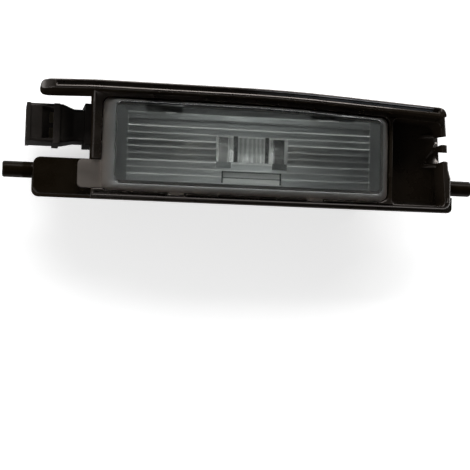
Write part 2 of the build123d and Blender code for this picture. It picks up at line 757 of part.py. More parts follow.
# Plug socket: head with latch window, neck, flange and spigot
head_end = socket_mouth + SOCKET_HEAD_LENGTH
neck_y = socket_y - SOCKET_HEIGHT / 2 + NECK_DROP + NECK_HEIGHT / 2
with BuildPart() as connector_body:
    with BuildSketch(Plane.YZ.offset(socket_mouth)):
        with Locations((socket_y, SOCKET_Z)):
            RectangleRounded(SOCKET_HEIGHT, SOCKET_DEPTH, SOCKET_CORNER)
    extrude(amount=SOCKET_HEAD_LENGTH)
    with BuildSketch(Plane.YZ.offset(head_end)):
        with Locations((socket_y, SOCKET_Z)):
            RectangleRounded(SOCKET_HEIGHT, SOCKET_DEPTH, SOCKET_CORNER)
    with BuildSketch(Plane.YZ.offset(head_end + NECK_SLOPE_LENGTH)):
        with Locations((neck_y, SOCKET_Z)):
            RectangleRounded(NECK_HEIGHT, NECK_DEPTH, SOCKET_CORNER)
    loft(ruled=True)
    with BuildSketch(Plane.YZ.offset(head_end + NECK_SLOPE_LENGTH)):
        with Locations((neck_y, SOCKET_Z)):
            RectangleRounded(NECK_HEIGHT, NECK_DEPTH, SOCKET_CORNER)
    extrude(amount=frame_left - head_end - NECK_SLOPE_LENGTH)

    # Flange against the end wall and spigot through it
    with BuildSketch(Plane.YZ.offset(frame_left)):
        with Locations((socket_y, SOCKET_Z)):
            Rectangle(SOCKET_FLANGE_HEIGHT, SOCKET_FLANGE_DEPTH)
    extrude(amount=-SOCKET_FLANGE)
    with BuildSketch(Plane.YZ.offset(frame_left)):
        with Locations((socket_y, SOCKET_Z)):
            Rectangle(SPIGOT_HEIGHT, SPIGOT_DEPTH)
    extrude(amount=SIDE_LIP + LEDGE)

    # Collar behind the latch window, which also stands out below, and rim round the mouth
    collar_start = socket_mouth + LATCH_WINDOW_START + LATCH_WINDOW_LENGTH
    for start, length, drop in ((collar_start, COLLAR_LENGTH, COLLAR_RISE), (socket_mouth, SOCKET_WALL, 0)):
        with BuildSketch(Plane.YZ.offset(start)):
            with Locations((socket_y - drop / 2, SOCKET_Z)):
                Rectangle(SOCKET_HEIGHT + drop, SOCKET_DEPTH + 2 * COLLAR_RISE)
        extrude(amount=length)

    # Hollow for the plug, latch window and ways for the blades
    with BuildSketch(Plane.YZ.offset(socket_mouth)):
        with Locations((socket_y, SOCKET_Z)):
            Rectangle(SOCKET_HEIGHT - 2 * SOCKET_WALL, SOCKET_DEPTH - 2 * SOCKET_WALL)
    extrude(amount=SOCKET_CAVITY, mode=Mode.SUBTRACT)
    with BuildSketch(Plane.XY.offset(SOCKET_Z)):
        with Locations((socket_mouth + LATCH_WINDOW_START + LATCH_WINDOW_LENGTH / 2, socket_y)):
            Rectangle(LATCH_WINDOW_LENGTH, SOCKET_HEIGHT - 2 * SOCKET_WALL)
    extrude(amount=SOCKET_DEPTH, mode=Mode.SUBTRACT)
    with BuildSketch(Plane.YZ.offset(socket_mouth + SOCKET_CAVITY)):
        with Locations((socket_y, SOCKET_Z)):
            with GridLocations(BLADE_SPACING, 0, 2, 1):
                Rectangle(STRIP_WIDTH + 2 * STRIP_GAP, STRIP_THICKNESS + 2 * STRIP_GAP)
    extrude(amount=SOCKET_REACH + SIDE_LIP + LEDGE - SOCKET_CAVITY, mode=Mode.SUBTRACT)

connector_body.part.label = "connector_body"
export_step(connector_body.part, "parts/connector_body.step")

# Bulb glass: hollow tube with solid drawn-in ends, each with a hole for its lead
bulb_plane = Plane(origin=(0, bulb_y, bulb_z), x_dir=(1, 0, 0), z_dir=(0, -1, 0))
bulb_axis = Axis((0, bulb_y, bulb_z), (1, 0, 0))
cap_start = BULB_LENGTH / 2 - CAP_LENGTH
glass_end = GLASS_LENGTH / 2
glass_radius = GLASS_DIAMETER / 2
neck_radius = GLASS_NECK_DIAMETER / 2
lead_hole = LEAD_DIAMETER / 2 + LEAD_GAP
with BuildPart() as bulb_glass:
    with BuildSketch(bulb_plane):
        with BuildLine():
            Polyline(
                (0, glass_radius),
                (cap_start - GLASS_SHOULDER, glass_radius),
                (cap_start, neck_radius),
                (glass_end, neck_radius),
                (glass_end, lead_hole),
                (cap_start - GLASS_SHOULDER, lead_hole),
                (cap_start - GLASS_SHOULDER, glass_radius - GLASS_WALL),
                (0, glass_radius - GLASS_WALL),
            )
            mirror(about=Plane.YZ)
        make_face()
    revolve(axis=bulb_axis)

bulb_glass.part.label = "bulb_glass"
export_step(bulb_glass.part, "parts/bulb_glass.step")

# Bulb caps: metal cups on the ends of the glass, with a solid cone that seats in the leaf's hole
bore_end = glass_end + CAP_GAP
for name, side in (("bulb_cap_left", -1), ("bulb_cap_right", 1)):
    with BuildPart() as cap:
        with BuildSketch(bulb_plane):
            with BuildLine():
                Polyline(
                    (side * cap_start, neck_radius + CAP_GAP),
                    (side * cap_start, CAP_DIAMETER / 2),
                    (side * (BULB_LENGTH / 2 - CAP_CONE_LENGTH), CAP_DIAMETER / 2),
                    (side * BULB_LENGTH / 2, CAP_TIP_DIAMETER / 2),
                    (side * BULB_LENGTH / 2, 0),
                    (side * bore_end, 0),
                    (side * bore_end, neck_radius + CAP_GAP),
                    close=True,
                )
            make_face()
        revolve(axis=bulb_axis)
    cap.part.label = name
    export_step(cap.part, f"parts/{name}.step")

# Leads: six-sided wires from the inside of each cap to the filament
filament_half = FILAMENT_SPAN / 2
lead_start = filament_half + FILAMENT_GAP
for name, side in (("filament_lead_left", -1), ("filament_lead_right", 1)):
    with BuildPart() as lead:
        with BuildSketch(Plane.YZ.offset(side * lead_start)):
            with Locations((bulb_y, bulb_z)):
                RegularPolygon(LEAD_DIAMETER / 2, 6)
        extrude(amount=side * (bore_end - lead_start))
    lead.part.label = name
    export_step(lead.part, f"parts/{name}.step")

# Filament: thin six-sided rod that arches between the ends of the leads
with BuildPart() as bulb_filament:
    with BuildLine() as filament_path:
        ThreePointArc(
            (-filament_half, bulb_y, bulb_z),
            (0, bulb_y, bulb_z + FILAMENT_RISE),
            (filament_half, bulb_y, bulb_z),
        )
    with BuildSketch(Plane(origin=filament_path.line @ 0, z_dir=filament_path.line % 0)):
        RegularPolygon(FILAMENT_DIAMETER / 2, 6)
    sweep(path=filament_path.line)

bulb_filament.part.label = "bulb_filament"
export_step(bulb_filament.part, "parts/bulb_filament.step")
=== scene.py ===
import bmesh
import bpy
import json
from math import cos, pi, radians, sin, sqrt, tan
from mathutils import Matrix, Vector


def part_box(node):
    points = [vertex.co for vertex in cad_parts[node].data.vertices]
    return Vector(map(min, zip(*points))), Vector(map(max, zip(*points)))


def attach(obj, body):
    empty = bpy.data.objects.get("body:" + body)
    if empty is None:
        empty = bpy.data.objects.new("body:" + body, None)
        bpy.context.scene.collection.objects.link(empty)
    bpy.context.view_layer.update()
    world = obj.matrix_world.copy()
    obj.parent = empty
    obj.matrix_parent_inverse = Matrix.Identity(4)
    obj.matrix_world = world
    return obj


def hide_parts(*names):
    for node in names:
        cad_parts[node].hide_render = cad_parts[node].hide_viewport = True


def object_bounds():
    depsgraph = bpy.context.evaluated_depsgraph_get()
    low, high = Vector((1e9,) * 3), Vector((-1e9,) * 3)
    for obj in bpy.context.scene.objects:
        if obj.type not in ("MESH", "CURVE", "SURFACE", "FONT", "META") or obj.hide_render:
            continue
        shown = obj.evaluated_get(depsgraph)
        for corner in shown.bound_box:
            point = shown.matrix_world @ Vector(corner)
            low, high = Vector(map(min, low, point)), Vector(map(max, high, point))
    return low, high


# The looks of a number plate lamp that lies on its back with the lens up, as its photograph shows it.
# X runs along the lamp, Y points to its flanged edge and Z points out of the lens. The scene is in metres.
# Sections that count in millimetres say so.

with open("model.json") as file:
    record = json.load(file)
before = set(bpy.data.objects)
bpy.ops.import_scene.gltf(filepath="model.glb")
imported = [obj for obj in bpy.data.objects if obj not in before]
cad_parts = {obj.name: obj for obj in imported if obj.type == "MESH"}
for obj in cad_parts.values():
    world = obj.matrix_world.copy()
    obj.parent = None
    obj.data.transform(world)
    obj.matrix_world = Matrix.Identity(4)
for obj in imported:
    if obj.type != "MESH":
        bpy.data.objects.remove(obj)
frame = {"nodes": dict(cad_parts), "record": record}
cad_low, cad_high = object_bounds()
nodes = frame["nodes"]
MM = 0.001

# Material helpers. Places and spans are in millimetres, as pairs of a lower and an upper limit.
BAND_EDGE = 0.6
STREAK_EDGE = 0.12
FRONT_START = 0.15
FRONT_FULL = 0.5


class Paint:
    """A material with one shader, and short calls for the nodes that feed it."""

    def __init__(self, name):
        self.material = bpy.data.materials.new(name)
        self.material.use_nodes = True
        self.nodes = self.material.node_tree.nodes
        self.links = self.material.node_tree.links
        self.shader = self.nodes["Principled BSDF"]
        self.place = self.nodes.new("ShaderNodeTexCoord").outputs["Object"]

    def set(self, **values):
        """Sets the shader's own sockets, named with underscores for spaces."""
        for key, value in values.items():
            self.shader.inputs[key.replace("_", " ")].default_value = value

    def feed(self, **patterns):
        """Links patterns to the shader's sockets, named in the same way."""
        for key, output in patterns.items():
            self.links.new(output, self.shader.inputs[key.replace("_", " ")])

    def stretch(self, scale):
        """Object coordinates scaled along each axis."""
        mapping = self.nodes.new("ShaderNodeMapping")
        mapping.inputs["Scale"].default_value = scale
        self.links.new(self.place, mapping.inputs["Vector"])
        return mapping.outputs["Vector"]

    def noise(self, scale, detail, roughness=0.55, distortion=0.0, vector=None):
        """A noise pattern with a scale in waves per metre."""
        node = self.nodes.new("ShaderNodeTexNoise")
        node.inputs["Scale"].default_value = scale
        node.inputs["Detail"].default_value = detail
        node.inputs["Roughness"].default_value = roughness
        node.inputs["Distortion"].default_value = distortion
        self.links.new(vector or self.place, node.inputs["Vector"])
        return node.outputs["Fac"]

    def range(self, value, low, high, start=0.3, end=0.7):
        """Runs from one value to another where a pattern goes from a start to an end."""
        node = self.nodes.new("ShaderNodeMapRange")
        node.inputs["From Min"].default_value = start
        node.inputs["From Max"].default_value = end
        node.inputs["To Min"].default_value = low
        node.inputs["To Max"].default_value = high
        self.links.new(value, node.inputs["Value"])
        return node.outputs["Result"]

    def spread(self, value, low, high):
        """Runs from one value to another where a pattern goes from nothing to one."""
        return self.range(value, low, high, 0.0, 1.0)

    def ramp(self, value, tones, start=0.3, end=0.7):
        """Runs from one colour to another where a pattern goes from a start to an end."""
        node = self.nodes.new("ShaderNodeValToRGB")
        for element, position, tone in zip(node.color_ramp.elements, (start, end), tones):
            element.position = position
            element.color = (*tone, 1.0)
        self.links.new(value, node.inputs["Fac"])
        return node.outputs["Color"]

    def mix(self, factor, first, second):
        """Mixes two colour patterns by a third pattern."""
        node = self.nodes.new("ShaderNodeMix")
        node.data_type = "RGBA"
        self.links.new(factor, node.inputs["Factor"])
        self.links.new(first, node.inputs["A"])
        self.links.new(second, node.inputs["B"])
        return node.outputs["Result"]

    def tint(self, first, second):
        """Multiplies two colour patterns."""
        node = self.nodes.new("ShaderNodeMix")
        node.data_type = "RGBA"
        node.blend_type = "MULTIPLY"
        node.inputs["Factor"].default_value = 1.0
        self.links.new(first, node.inputs["A"])
        self.links.new(second, node.inputs["B"])
        return node.outputs["Result"]

    def join(self, operation, joined, *others):
        """Joins patterns one after another by an operation."""
        for other in others:
            node = self.nodes.new("ShaderNodeMath")
            node.operation = operation
            self.links.new(joined, node.inputs[0])
            self.links.new(other, node.inputs[1])
            joined = node.outputs["Value"]
        return joined

    def product(self, *patterns):
        """Product of patterns."""
        return self.join("MULTIPLY", *patterns)

    def total(self, *patterns):
        """Sum of patterns."""
        return self.join("ADD", *patterns)

    def largest(self, *patterns):
        """The largest of patterns at each place."""
        return self.join("MAXIMUM", *patterns)

    def attribute(self, name, output="Fac"):
        """A value or a colour that is kept on the mesh."""
        node = self.nodes.new("ShaderNodeAttribute")
        node.attribute_name = name
        return node.outputs[output]

    def along(self, axis):
        """The place along an axis, in metres."""
        split = self.nodes.new("ShaderNodeSeparateXYZ")
        self.links.new(self.place, split.inputs["Vector"])
        return split.outputs[axis]

    def slope(self, axis, span, low, high):
        """Runs from one value to another along a span of an axis."""
        start, end = span
        return self.range(self.along(axis), low, high, start * MM, end * MM)

    def between(self, place, span, edge):
        """One where a place in metres lies in a span, falling softly to nothing outside."""
        low, high = span
        rise = self.range(place, 0.0, 1.0, (low - edge) * MM, low * MM)
        fall = self.range(place, 1.0, 0.0, high * MM, (high + edge) * MM)
        return self.product(rise, fall)

    def band(self, axis, span, edge=BAND_EDGE):
        """One in a span of an axis, falling softly to nothing outside."""
        return self.between(self.along(axis), span, edge)

    def patches(self, rectangles, edge=BAND_EDGE):
        """One in each of some rectangles, which are pairs of a span along X and a span along Y."""
        return self.largest(*[
            self.product(self.band("X", x_span), self.band("Y", y_span, edge))
            for x_span, y_span in rectangles
        ])

    def front(self):
        """Nothing on side walls, and one on faces that look to the front or the back."""
        split = self.nodes.new("ShaderNodeSeparateXYZ")
        self.links.new(self.nodes.new("ShaderNodeTexCoord").outputs["Normal"], split.inputs["Vector"])
        size = self.nodes.new("ShaderNodeMath")
        size.operation = "ABSOLUTE"
        self.links.new(split.outputs["Z"], size.inputs[0])
        return self.range(size.outputs["Value"], 0.0, 1.0, FRONT_START, FRONT_FULL)

    def bump(self, height, strength, distance, below=None):
        """Bump from a pattern, laid over another bump where one is given."""
        node = self.nodes.new("ShaderNodeBump")
        node.inputs["Strength"].default_value = strength
        node.inputs["Distance"].default_value = distance
        self.links.new(height, node.inputs["Height"])
        if below is not None:
            self.links.new(below, node.inputs["Normal"])
        return node.outputs["Normal"]


# Black plastic: the pins at both ends are matt, and so are the pocket on the right and the left block.
# Side walls are painted lighter than the fronts, as painted light, and so in part is the pocket's floor.
GLOSS_TINT = (1.0, 0.90, 0.85, 1.0)
WALL_PAINTED_LIGHT_TONES = ((0.0170, 0.0124, 0.0086), (0.0215, 0.0160, 0.0114))
FACE_TONES = ((0.0042, 0.0027, 0.0011), (0.0062, 0.0040, 0.0017))
DUST_TONES = ((0.016, 0.012, 0.009), (0.026, 0.020, 0.016))
DUST_SHARE = 0.6
DUST_SPECKS = (0.62, 0.80)
BODY_SPAN = (-47.8, 48.2)
PIN_GLOSS = 0.06
POCKET = ((33.0, 45.8), (-10.5, 9.5))
POCKET_FACE = 0.6
BLOCK = ((-50.0, -35.2), (-14.0, 8.0))
DULL_GLOSS = 0.22
PLASTIC_ROUGH = (0.22, 0.36)
WALL_ROUGH = 0.30

# Right of its bend the flange has a painted highlight line along its lip and a painted bluish sheen, a
# painted reflection, in its groove. The last constant holds the limits of the noise that makes them uneven.
BEND_ANGLE = radians(3.2)
BEND_SPAN = (-3.17, 19.16)
STRAIGHT_SPAN = (BEND_SPAN[1], 44.0)
LIP_FADE = (42.3, 42.9)
LIP_HIGHLIGHT = (12.02, 12.14)
LIP_FRONT = (21.13, 21.25)
LIP_HIGHLIGHT_TONES = ((0.44, 0.45, 0.48), (0.90, 0.92, 0.95))
GROOVE_SHEEN = (11.50, 11.80)
GROOVE_SHEEN_TONES = ((0.046, 0.052, 0.060), (0.090, 0.100, 0.115))
PAINTED_LIGHT_NOISE = (0.35, 0.65)


def flange_place(paint):
    """Height across the flange, taken as if it ran straight, and one right of its bend up to its end."""
    bend_fall = (BEND_SPAN[1] - BEND_SPAN[0]) / 2 * tan(BEND_ANGLE) * MM
    straight_fall = (STRAIGHT_SPAN[1] - STRAIGHT_SPAN[0]) * tan(BEND_ANGLE) * MM
    bent = paint.slope("X", BEND_SPAN, 0.0, 1.0)
    in_bend = paint.product(bent, paint.spread(bent, 0.0, bend_fall))
    fall = paint.total(in_bend, paint.slope("X", STRAIGHT_SPAN, 0.0, straight_fall))
    right_part = paint.product(bent, paint.slope("X", LIP_FADE, 1.0, 0.0))
    return paint.total(paint.along("Y"), fall), right_part


def flange_painted_highlight_and_sheen(paint, colour, clouds):
    """A colour pattern with the flange's painted highlight along its lip and painted sheen in its groove
    laid over it.
    """
    height, right_part = flange_place(paint)
    in_groove_sheen = paint.product(paint.between(height, GROOVE_SHEEN, STREAK_EDGE), right_part)
    on_front = paint.slope("Z", LIP_FRONT, 0.0, 1.0)
    on_lip_highlight = paint.product(paint.between(height, LIP_HIGHLIGHT, STREAK_EDGE), on_front, right_part)
    colour = paint.mix(in_groove_sheen, colour, paint.ramp(clouds, GROOVE_SHEEN_TONES, *PAINTED_LIGHT_NOISE))
    return paint.mix(on_lip_highlight, colour, paint.ramp(clouds, LIP_HIGHLIGHT_TONES, *PAINTED_LIGHT_NOISE))


def black_plastic():
    """Black plastic with a brown cast: matt side walls painted lighter as painted light, semi-gloss fronts
    and edges, fine dust, and the flange's painted highlight and sheen.
    """
    paint = Paint("black_plastic")
    clouds = paint.noise(scale=180, detail=6)
    specks = paint.noise(scale=2600, detail=3, roughness=0.7)
    front = paint.front()
    pocket = paint.patches([POCKET])
    dull = paint.largest(pocket, paint.patches([BLOCK]))
    on_body = paint.spread(paint.band("X", BODY_SPAN), PIN_GLOSS, 1.0)
    # Side walls, and in part the pocket's floor, take the lighter wall tones: painted light.
    open_front = paint.product(front, paint.spread(pocket, 1.0, POCKET_FACE))
    colour = paint.mix(open_front, paint.ramp(clouds, WALL_PAINTED_LIGHT_TONES), paint.ramp(clouds, FACE_TONES))
    dust = paint.range(specks, 0.0, DUST_SHARE, *DUST_SPECKS)
    colour = paint.mix(dust, colour, paint.ramp(clouds, DUST_TONES))
    grain = paint.bump(paint.noise(scale=5200, detail=2), strength=0.08, distance=0.06 * MM)
    waves = paint.bump(paint.noise(scale=120, detail=2), strength=0.10, distance=0.4 * MM, below=grain)
    paint.feed(
        Base_Color=flange_painted_highlight_and_sheen(paint, colour, clouds),
        Roughness=paint.total(paint.spread(front, WALL_ROUGH, 0.0), paint.range(clouds, *PLASTIC_ROUGH)),
        Specular_IOR_Level=paint.product(front, on_body, paint.spread(dull, 1.0, DULL_GLOSS)),
        Normal=waves,
    )
    paint.set(Specular_Tint=GLOSS_TINT)
    return paint.material


# Socket plastic: a lighter head with a paler collar, and a neck darkened as painted shade
NECK_PAINTED_SHADE_TONES = ((0.0012, 0.0009, 0.0006), (0.0026, 0.0020, 0.0014))
HEAD_TONES = ((0.0070, 0.0058, 0.0046), (0.0140, 0.0118, 0.0096))
COLLAR_TONES = ((0.0130, 0.0108, 0.0095), (0.0210, 0.0178, 0.0158))
COLLAR_SPAN = (-43.9, -42.8)
HEAD_FADE = (-41.6, -40.2)
SOCKET_ROUGH = (0.40, 0.55)
SOCKET_WALL_ROUGH = 0.20
SOCKET_GLOSS = (0.012, 0.40)


def socket_plastic():
    """Satin plastic of the plug socket."""
    paint = Paint("socket_plastic")
    clouds = paint.noise(scale=240, detail=5)
    scuffs = paint.noise(scale=900, detail=4, roughness=0.65)
    front = paint.front()
    collar = paint.band("X", COLLAR_SPAN)
    head = paint.mix(collar, paint.ramp(scuffs, HEAD_TONES), paint.ramp(scuffs, COLLAR_TONES))
    wall_rough = paint.spread(front, SOCKET_WALL_ROUGH, 0.0)
    paint.feed(
        # Right of HEAD_FADE the neck takes the darker neck tones: painted shade.
        Base_Color=paint.mix(paint.slope("X", HEAD_FADE, 1.0, 0.0), paint.ramp(clouds, NECK_PAINTED_SHADE_TONES), head),
        Roughness=paint.total(wall_rough, paint.range(clouds, *SOCKET_ROUGH)),
        Specular_IOR_Level=paint.spread(front, *SOCKET_GLOSS),
        Normal=paint.bump(paint.noise(scale=3800, detail=3), strength=0.16, distance=0.1 * MM),
    )
    paint.set(Specular_Tint=GLOSS_TINT)
    return paint.material


# Lens plastic. Painted dark patches near the top edge stand in for two clips behind it, as painted shade,
# with painted glints and short painted gleams below. The window's ridges get two bright painted highlight
# streaks, and the foot of its prisms painted highlight wisps. GAPS and BREAKS hold the limits of the noise
# that breaks them up.
LENS_IOR = 1.49
SHADE_TONES = ((0.80, 0.82, 0.82), (1.0, 1.0, 1.0))
CLIPS = (((-23.5, -16.0), (6.3, 8.6)), ((14.0, 23.5), (6.3, 8.6)))
CLIP_GAPS = (0.45, 0.62)
CLIP_GAP_SHARE = 0.3
CLIP_FROST = 0.1
CLIP_PAINTED_SHADE_TONES = ((1.0, 1.0, 1.0), (0.40, 0.39, 0.38))
GLINTS = (((-23.5, -16.0), (7.55, 7.68)), ((14.0, 23.5), (7.15, 7.28)))
GLINT_BREAKS = (0.42, 0.58)
GLINT_FROST = (0.05, 0.40)
GLEAMS = (((-19.2, -17.4), (5.90, 6.02)), ((15.2, 19.6), (5.90, 6.02)))
GLEAM_FROST = 0.30
RIDGE_PAINTED_STREAKS = (((-4.7, -4.3), (-3.8, -2.0)), ((4.6, 5.0), (-3.8, -2.0)))
STREAK_FROST = 0.30
WISPS = ((-2.6, 2.8), (-4.2, -3.0))
WISP_BREAKS = (0.42, 0.62)
WISP_FROST = 0.22
FROST_CHANGE = (0.75, 1.25)
HAZE_CHANGE = 0.06


def clear_plastic():
    """Clear lens plastic. The mesh says where it is hazed, frosted and tinted; much of that frost is painted
    highlight, and the material adds painted shade in the clip patches and more painted highlights.
    """
    paint = Paint("clear_plastic")
    clouds = paint.noise(scale=70, detail=5, distortion=0.4)
    streaks = paint.noise(scale=420, detail=4, vector=paint.stretch((0.10, 1.0, 1.0)))
    flecks = paint.noise(scale=900, detail=3, vector=paint.stretch((0.22, 1.0, 1.0)))
    wisps = paint.noise(scale=1500, detail=2, vector=paint.stretch((1.0, 0.10, 0.10)))
    hidden = paint.product(paint.patches(CLIPS), paint.range(flecks, 1.0, CLIP_GAP_SHARE, *CLIP_GAPS))
    # Frost from the mesh, with painted highlights added: the ridge streaks, the prism wisps, the clip glints
    # and the gleams.
    frost = paint.total(
        paint.product(
            paint.attribute("frost"),
            paint.range(streaks, *FROST_CHANGE),
            paint.spread(hidden, 1.0, CLIP_FROST),
        ),
        paint.spread(paint.patches(RIDGE_PAINTED_STREAKS), 0.0, STREAK_FROST),
        paint.product(paint.patches([WISPS]), paint.range(wisps, 0.0, WISP_FROST, *WISP_BREAKS)),
        paint.product(paint.patches(GLINTS, STREAK_EDGE), paint.range(flecks, *GLINT_FROST, *GLINT_BREAKS)),
        paint.spread(paint.patches(GLEAMS, STREAK_EDGE), 0.0, GLEAM_FROST),
    )
    shade = paint.ramp(clouds, SHADE_TONES, start=0.25, end=0.75)
    # The clip patches darken the tint: painted shade.
    shade = paint.tint(shade, paint.ramp(hidden, CLIP_PAINTED_SHADE_TONES, start=0.0, end=1.0))
    paint.feed(
        Base_Color=paint.tint(paint.attribute("tint", "Color"), shade),
        Transmission_Weight=paint.spread(frost, 1.0, 0.0),
        Roughness=paint.total(paint.attribute("haze"), paint.range(streaks, 0.0, HAZE_CHANGE)),
        Normal=paint.bump(streaks, strength=0.01, distance=0.03 * MM),
    )
    paint.set(IOR=LENS_IOR)
    return paint.material


# Materials of the hidden pieces
RUBBER_TONES = ((0.016, 0.016, 0.016), (0.030, 0.030, 0.029))
RUBBER_ROUGH = (0.70, 0.88)
MIRROR_TONES = ((0.11, 0.12, 0.12), (0.18, 0.19, 0.19))
MIRROR_ROUGH = (0.32, 0.52)
MIRROR_METAL = 0.75
GLASS_TONES = ((0.88, 0.90, 0.90), (0.95, 0.96, 0.96))
GLASS_ROUGH = (0.01, 0.07)
GLASS_IOR = 1.5


def seal_rubber():
    """Matt dark rubber."""
    paint = Paint("seal_rubber")
    clouds = paint.noise(scale=300, detail=5)
    paint.feed(
        Base_Color=paint.ramp(clouds, RUBBER_TONES),
        Roughness=paint.range(clouds, *RUBBER_ROUGH),
        Normal=paint.bump(paint.noise(scale=4200, detail=3), strength=0.2, distance=0.1 * MM),
    )
    return paint.material


def metallised_plastic():
    """Metallised reflector, dulled to a satin grey with faint stains."""
    paint = Paint("metallised_plastic")
    clouds = paint.noise(scale=140, detail=6, distortion=0.6)
    paint.feed(
        Base_Color=paint.ramp(clouds, MIRROR_TONES, start=0.25, end=0.75),
        Roughness=paint.range(clouds, *MIRROR_ROUGH),
        Normal=paint.bump(paint.noise(scale=260, detail=3), strength=0.10, distance=0.3 * MM),
    )
    paint.set(Metallic=MIRROR_METAL)
    return paint.material


def bulb_glass():
    """Clear bulb glass with a faint grey film."""
    paint = Paint("bulb_glass")
    film = paint.noise(scale=220, detail=5)
    paint.feed(
        Base_Color=paint.ramp(film, GLASS_TONES),
        Roughness=paint.range(film, *GLASS_ROUGH),
        Normal=paint.bump(paint.noise(scale=160, detail=2), strength=0.05, distance=0.2 * MM),
    )
    paint.set(Transmission_Weight=1.0, IOR=GLASS_IOR)
    return paint.material


# Metals: dark and light tone, limits of the roughness, and how the drawn lines are stretched along each axis
METALS = {
    "plated_brass": (((0.20, 0.19, 0.17), (0.32, 0.31, 0.28)), (0.30, 0.48), (1.0, 0.2, 0.2)),
    "wire_steel": (((0.42, 0.42, 0.42), (0.60, 0.60, 0.60)), (0.28, 0.45), (0.1, 1.0, 1.0)),
    "filament_metal": (((0.18, 0.18, 0.19), (0.32, 0.32, 0.33)), (0.35, 0.50), (1.0, 1.0, 1.0)),
    # contact_brass is darker: tarnish, and painted shade for its blades deep in the socket.
    "contact_brass": (((0.10, 0.085, 0.06), (0.20, 0.17, 0.12)), (0.35, 0.55), (0.2, 1.0, 1.0)),
}


def metal(name):
    """Metal with drawn lines, tarnish and an uneven polish."""
    tones, roughness, lines = METALS[name]
    paint = Paint(name)
    tarnish = paint.noise(scale=320, detail=6)
    drawn = paint.noise(scale=2400, detail=2, vector=paint.stretch(lines))
    paint.feed(
        Base_Color=paint.ramp(tarnish, tones),
        Roughness=paint.range(tarnish, *roughness),
        Normal=paint.bump(drawn, strength=0.12, distance=0.06 * MM),
    )
    paint.set(Metallic=1.0)
    return paint.material


PAINTS = {
    "black_plastic": black_plastic(),
    "socket_plastic": socket_plastic(),
    "clear_plastic": clear_plastic(),
    "seal_rubber": seal_rubber(),
    "metallised_plastic": metallised_plastic(),
    "bulb_glass": bulb_glass(),
    **{name: metal(name) for name in METALS},
}
SLOTS = {part["node"]: part["material_slot"] for part in frame["record"]["subparts"]}


def paint_node(name):
    """Gives a CAD node the material of its slot."""
    materials = nodes[name].data.materials
    materials.clear()
    materials.append(PAINTS[SLOTS[name]])


def add_piece(name, mesh, node):
    """Adds a mesh as a piece that stands for a CAD node and takes its slot."""
    mesh.materials.clear()
    mesh.materials.append(PAINTS[SLOTS[node]])
    piece = bpy.data.objects.new(name, mesh)
    bpy.context.scene.collection.objects.link(piece)
    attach(piece, "root")
    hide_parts(node)
    return piece


def to_mesh(work, name):
    """Mesh data from a finished work mesh, which is freed."""
    mesh = bpy.data.meshes.new(name)
    work.to_mesh(mesh)
    work.free()
    return mesh


# Moulded pieces: the CAD form with its outer edges rounded
SHARP_ANGLE = radians(22)
WELD_DISTANCE = 0.002 * MM
ROUND_SEGMENTS = 3
NORMAL_WEIGHT = 100
HOUSING_ROUND = 0.22 * MM
SOCKET_ROUND = 0.18 * MM
REFLECTOR_ROUND = 0.10 * MM
FLANGE_FRONT = 21.5 * MM
FLANGE_TOP = 12.6 * MM
FLANGE_BEND = 8.0 * MM
FLANGE_ROOT = -35.25 * MM
FLANGE_DROOP = radians(2.0)
BEAD_TOP = 1.0 * MM
BEAD_END = 43.0 * MM
BEAD_RATIO = 1.75


def flange_level(x):
    """Height of the flange's top edge, which bends down on the right and droops on the left."""
    right_fall = max(0.0, x - FLANGE_BEND) * tan(BEND_ANGLE)
    left_fall = max(0.0, FLANGE_ROOT - x) * tan(FLANGE_DROOP)
    return FLANGE_TOP - right_fall - left_fall


def edge_share(edge):
    """Share of the full round that an outer edge gets: all of it on the bead below the flange's groove."""
    first, second = edge.verts[0].co, edge.verts[1].co
    middle = (first + second) / 2
    on_front = min(first.z, second.z) > FLANGE_FRONT - WELD_DISTANCE and max(first.x, second.x) < BEAD_END
    return 1.0 if on_front and flange_level(middle.x) - middle.y > BEAD_TOP else 1 / BEAD_RATIO


# Slits beside the snap finger: their upper flanks lean, so that the slits open towards the back
SLIT_FLOOR = 11.6 * MM
SLIT_WALL = 45.7 * MM
SLIT_FLANKS = (4.45 * MM, 0.55 * MM)
FLANK_LEAN = 0.9 * MM


def lean_flanks(work):
    """Moves the foot of each slit's upper flank."""
    for vert in work.verts:
        on_floor = abs(vert.co.z - SLIT_FLOOR) < WELD_DISTANCE and vert.co.x > SLIT_WALL
        if on_floor and min(abs(vert.co.y - flank) for flank in SLIT_FLANKS) < WELD_DISTANCE:
            vert.co.y += FLANK_LEAN


def rounded_copy(name, node, radius):
    """A piece with the form of a CAD node and small rounds along its outer edges."""
    work = bmesh.new()
    work.from_mesh(nodes[node].data)
    bmesh.ops.remove_doubles(work, verts=work.verts, dist=WELD_DISTANCE)
    if node == "housing":
        lean_flanks(work)
    for face in work.faces:
        face.smooth = True
    weight = work.edges.layers.float.new("bevel_weight_edge")
    for edge in work.edges:
        if edge.calc_face_angle(0.0) > SHARP_ANGLE:
            edge.smooth = edge.is_convex
            edge[weight] = edge_share(edge) if edge.is_convex else 0.0
    piece = add_piece(name, to_mesh(work, name), node)
    bevel = piece.modifiers.new("edge_round", "BEVEL")
    bevel.width = radius * BEAD_RATIO
    bevel.segments = ROUND_SEGMENTS
    bevel.limit_method = "WEIGHT"
    bevel.use_clamp_overlap = False
    flat = piece.modifiers.new("flat_faces", "WEIGHTED_NORMAL")
    flat.weight = NORMAL_WEIGHT
    flat.keep_sharp = True


rounded_copy("housing_moulding", "housing", HOUSING_ROUND)
rounded_copy("plug_socket_moulding", "connector_body", SOCKET_ROUND)
rounded_copy("reflector_trough", "reflector", REFLECTOR_ROUND)
for plain_node in (
    "lens_seal", "contact_strip_left", "contact_strip_right",
    "bulb_cap_left", "bulb_cap_right", "filament_lead_left", "filament_lead_right",
):
    paint_node(plain_node)

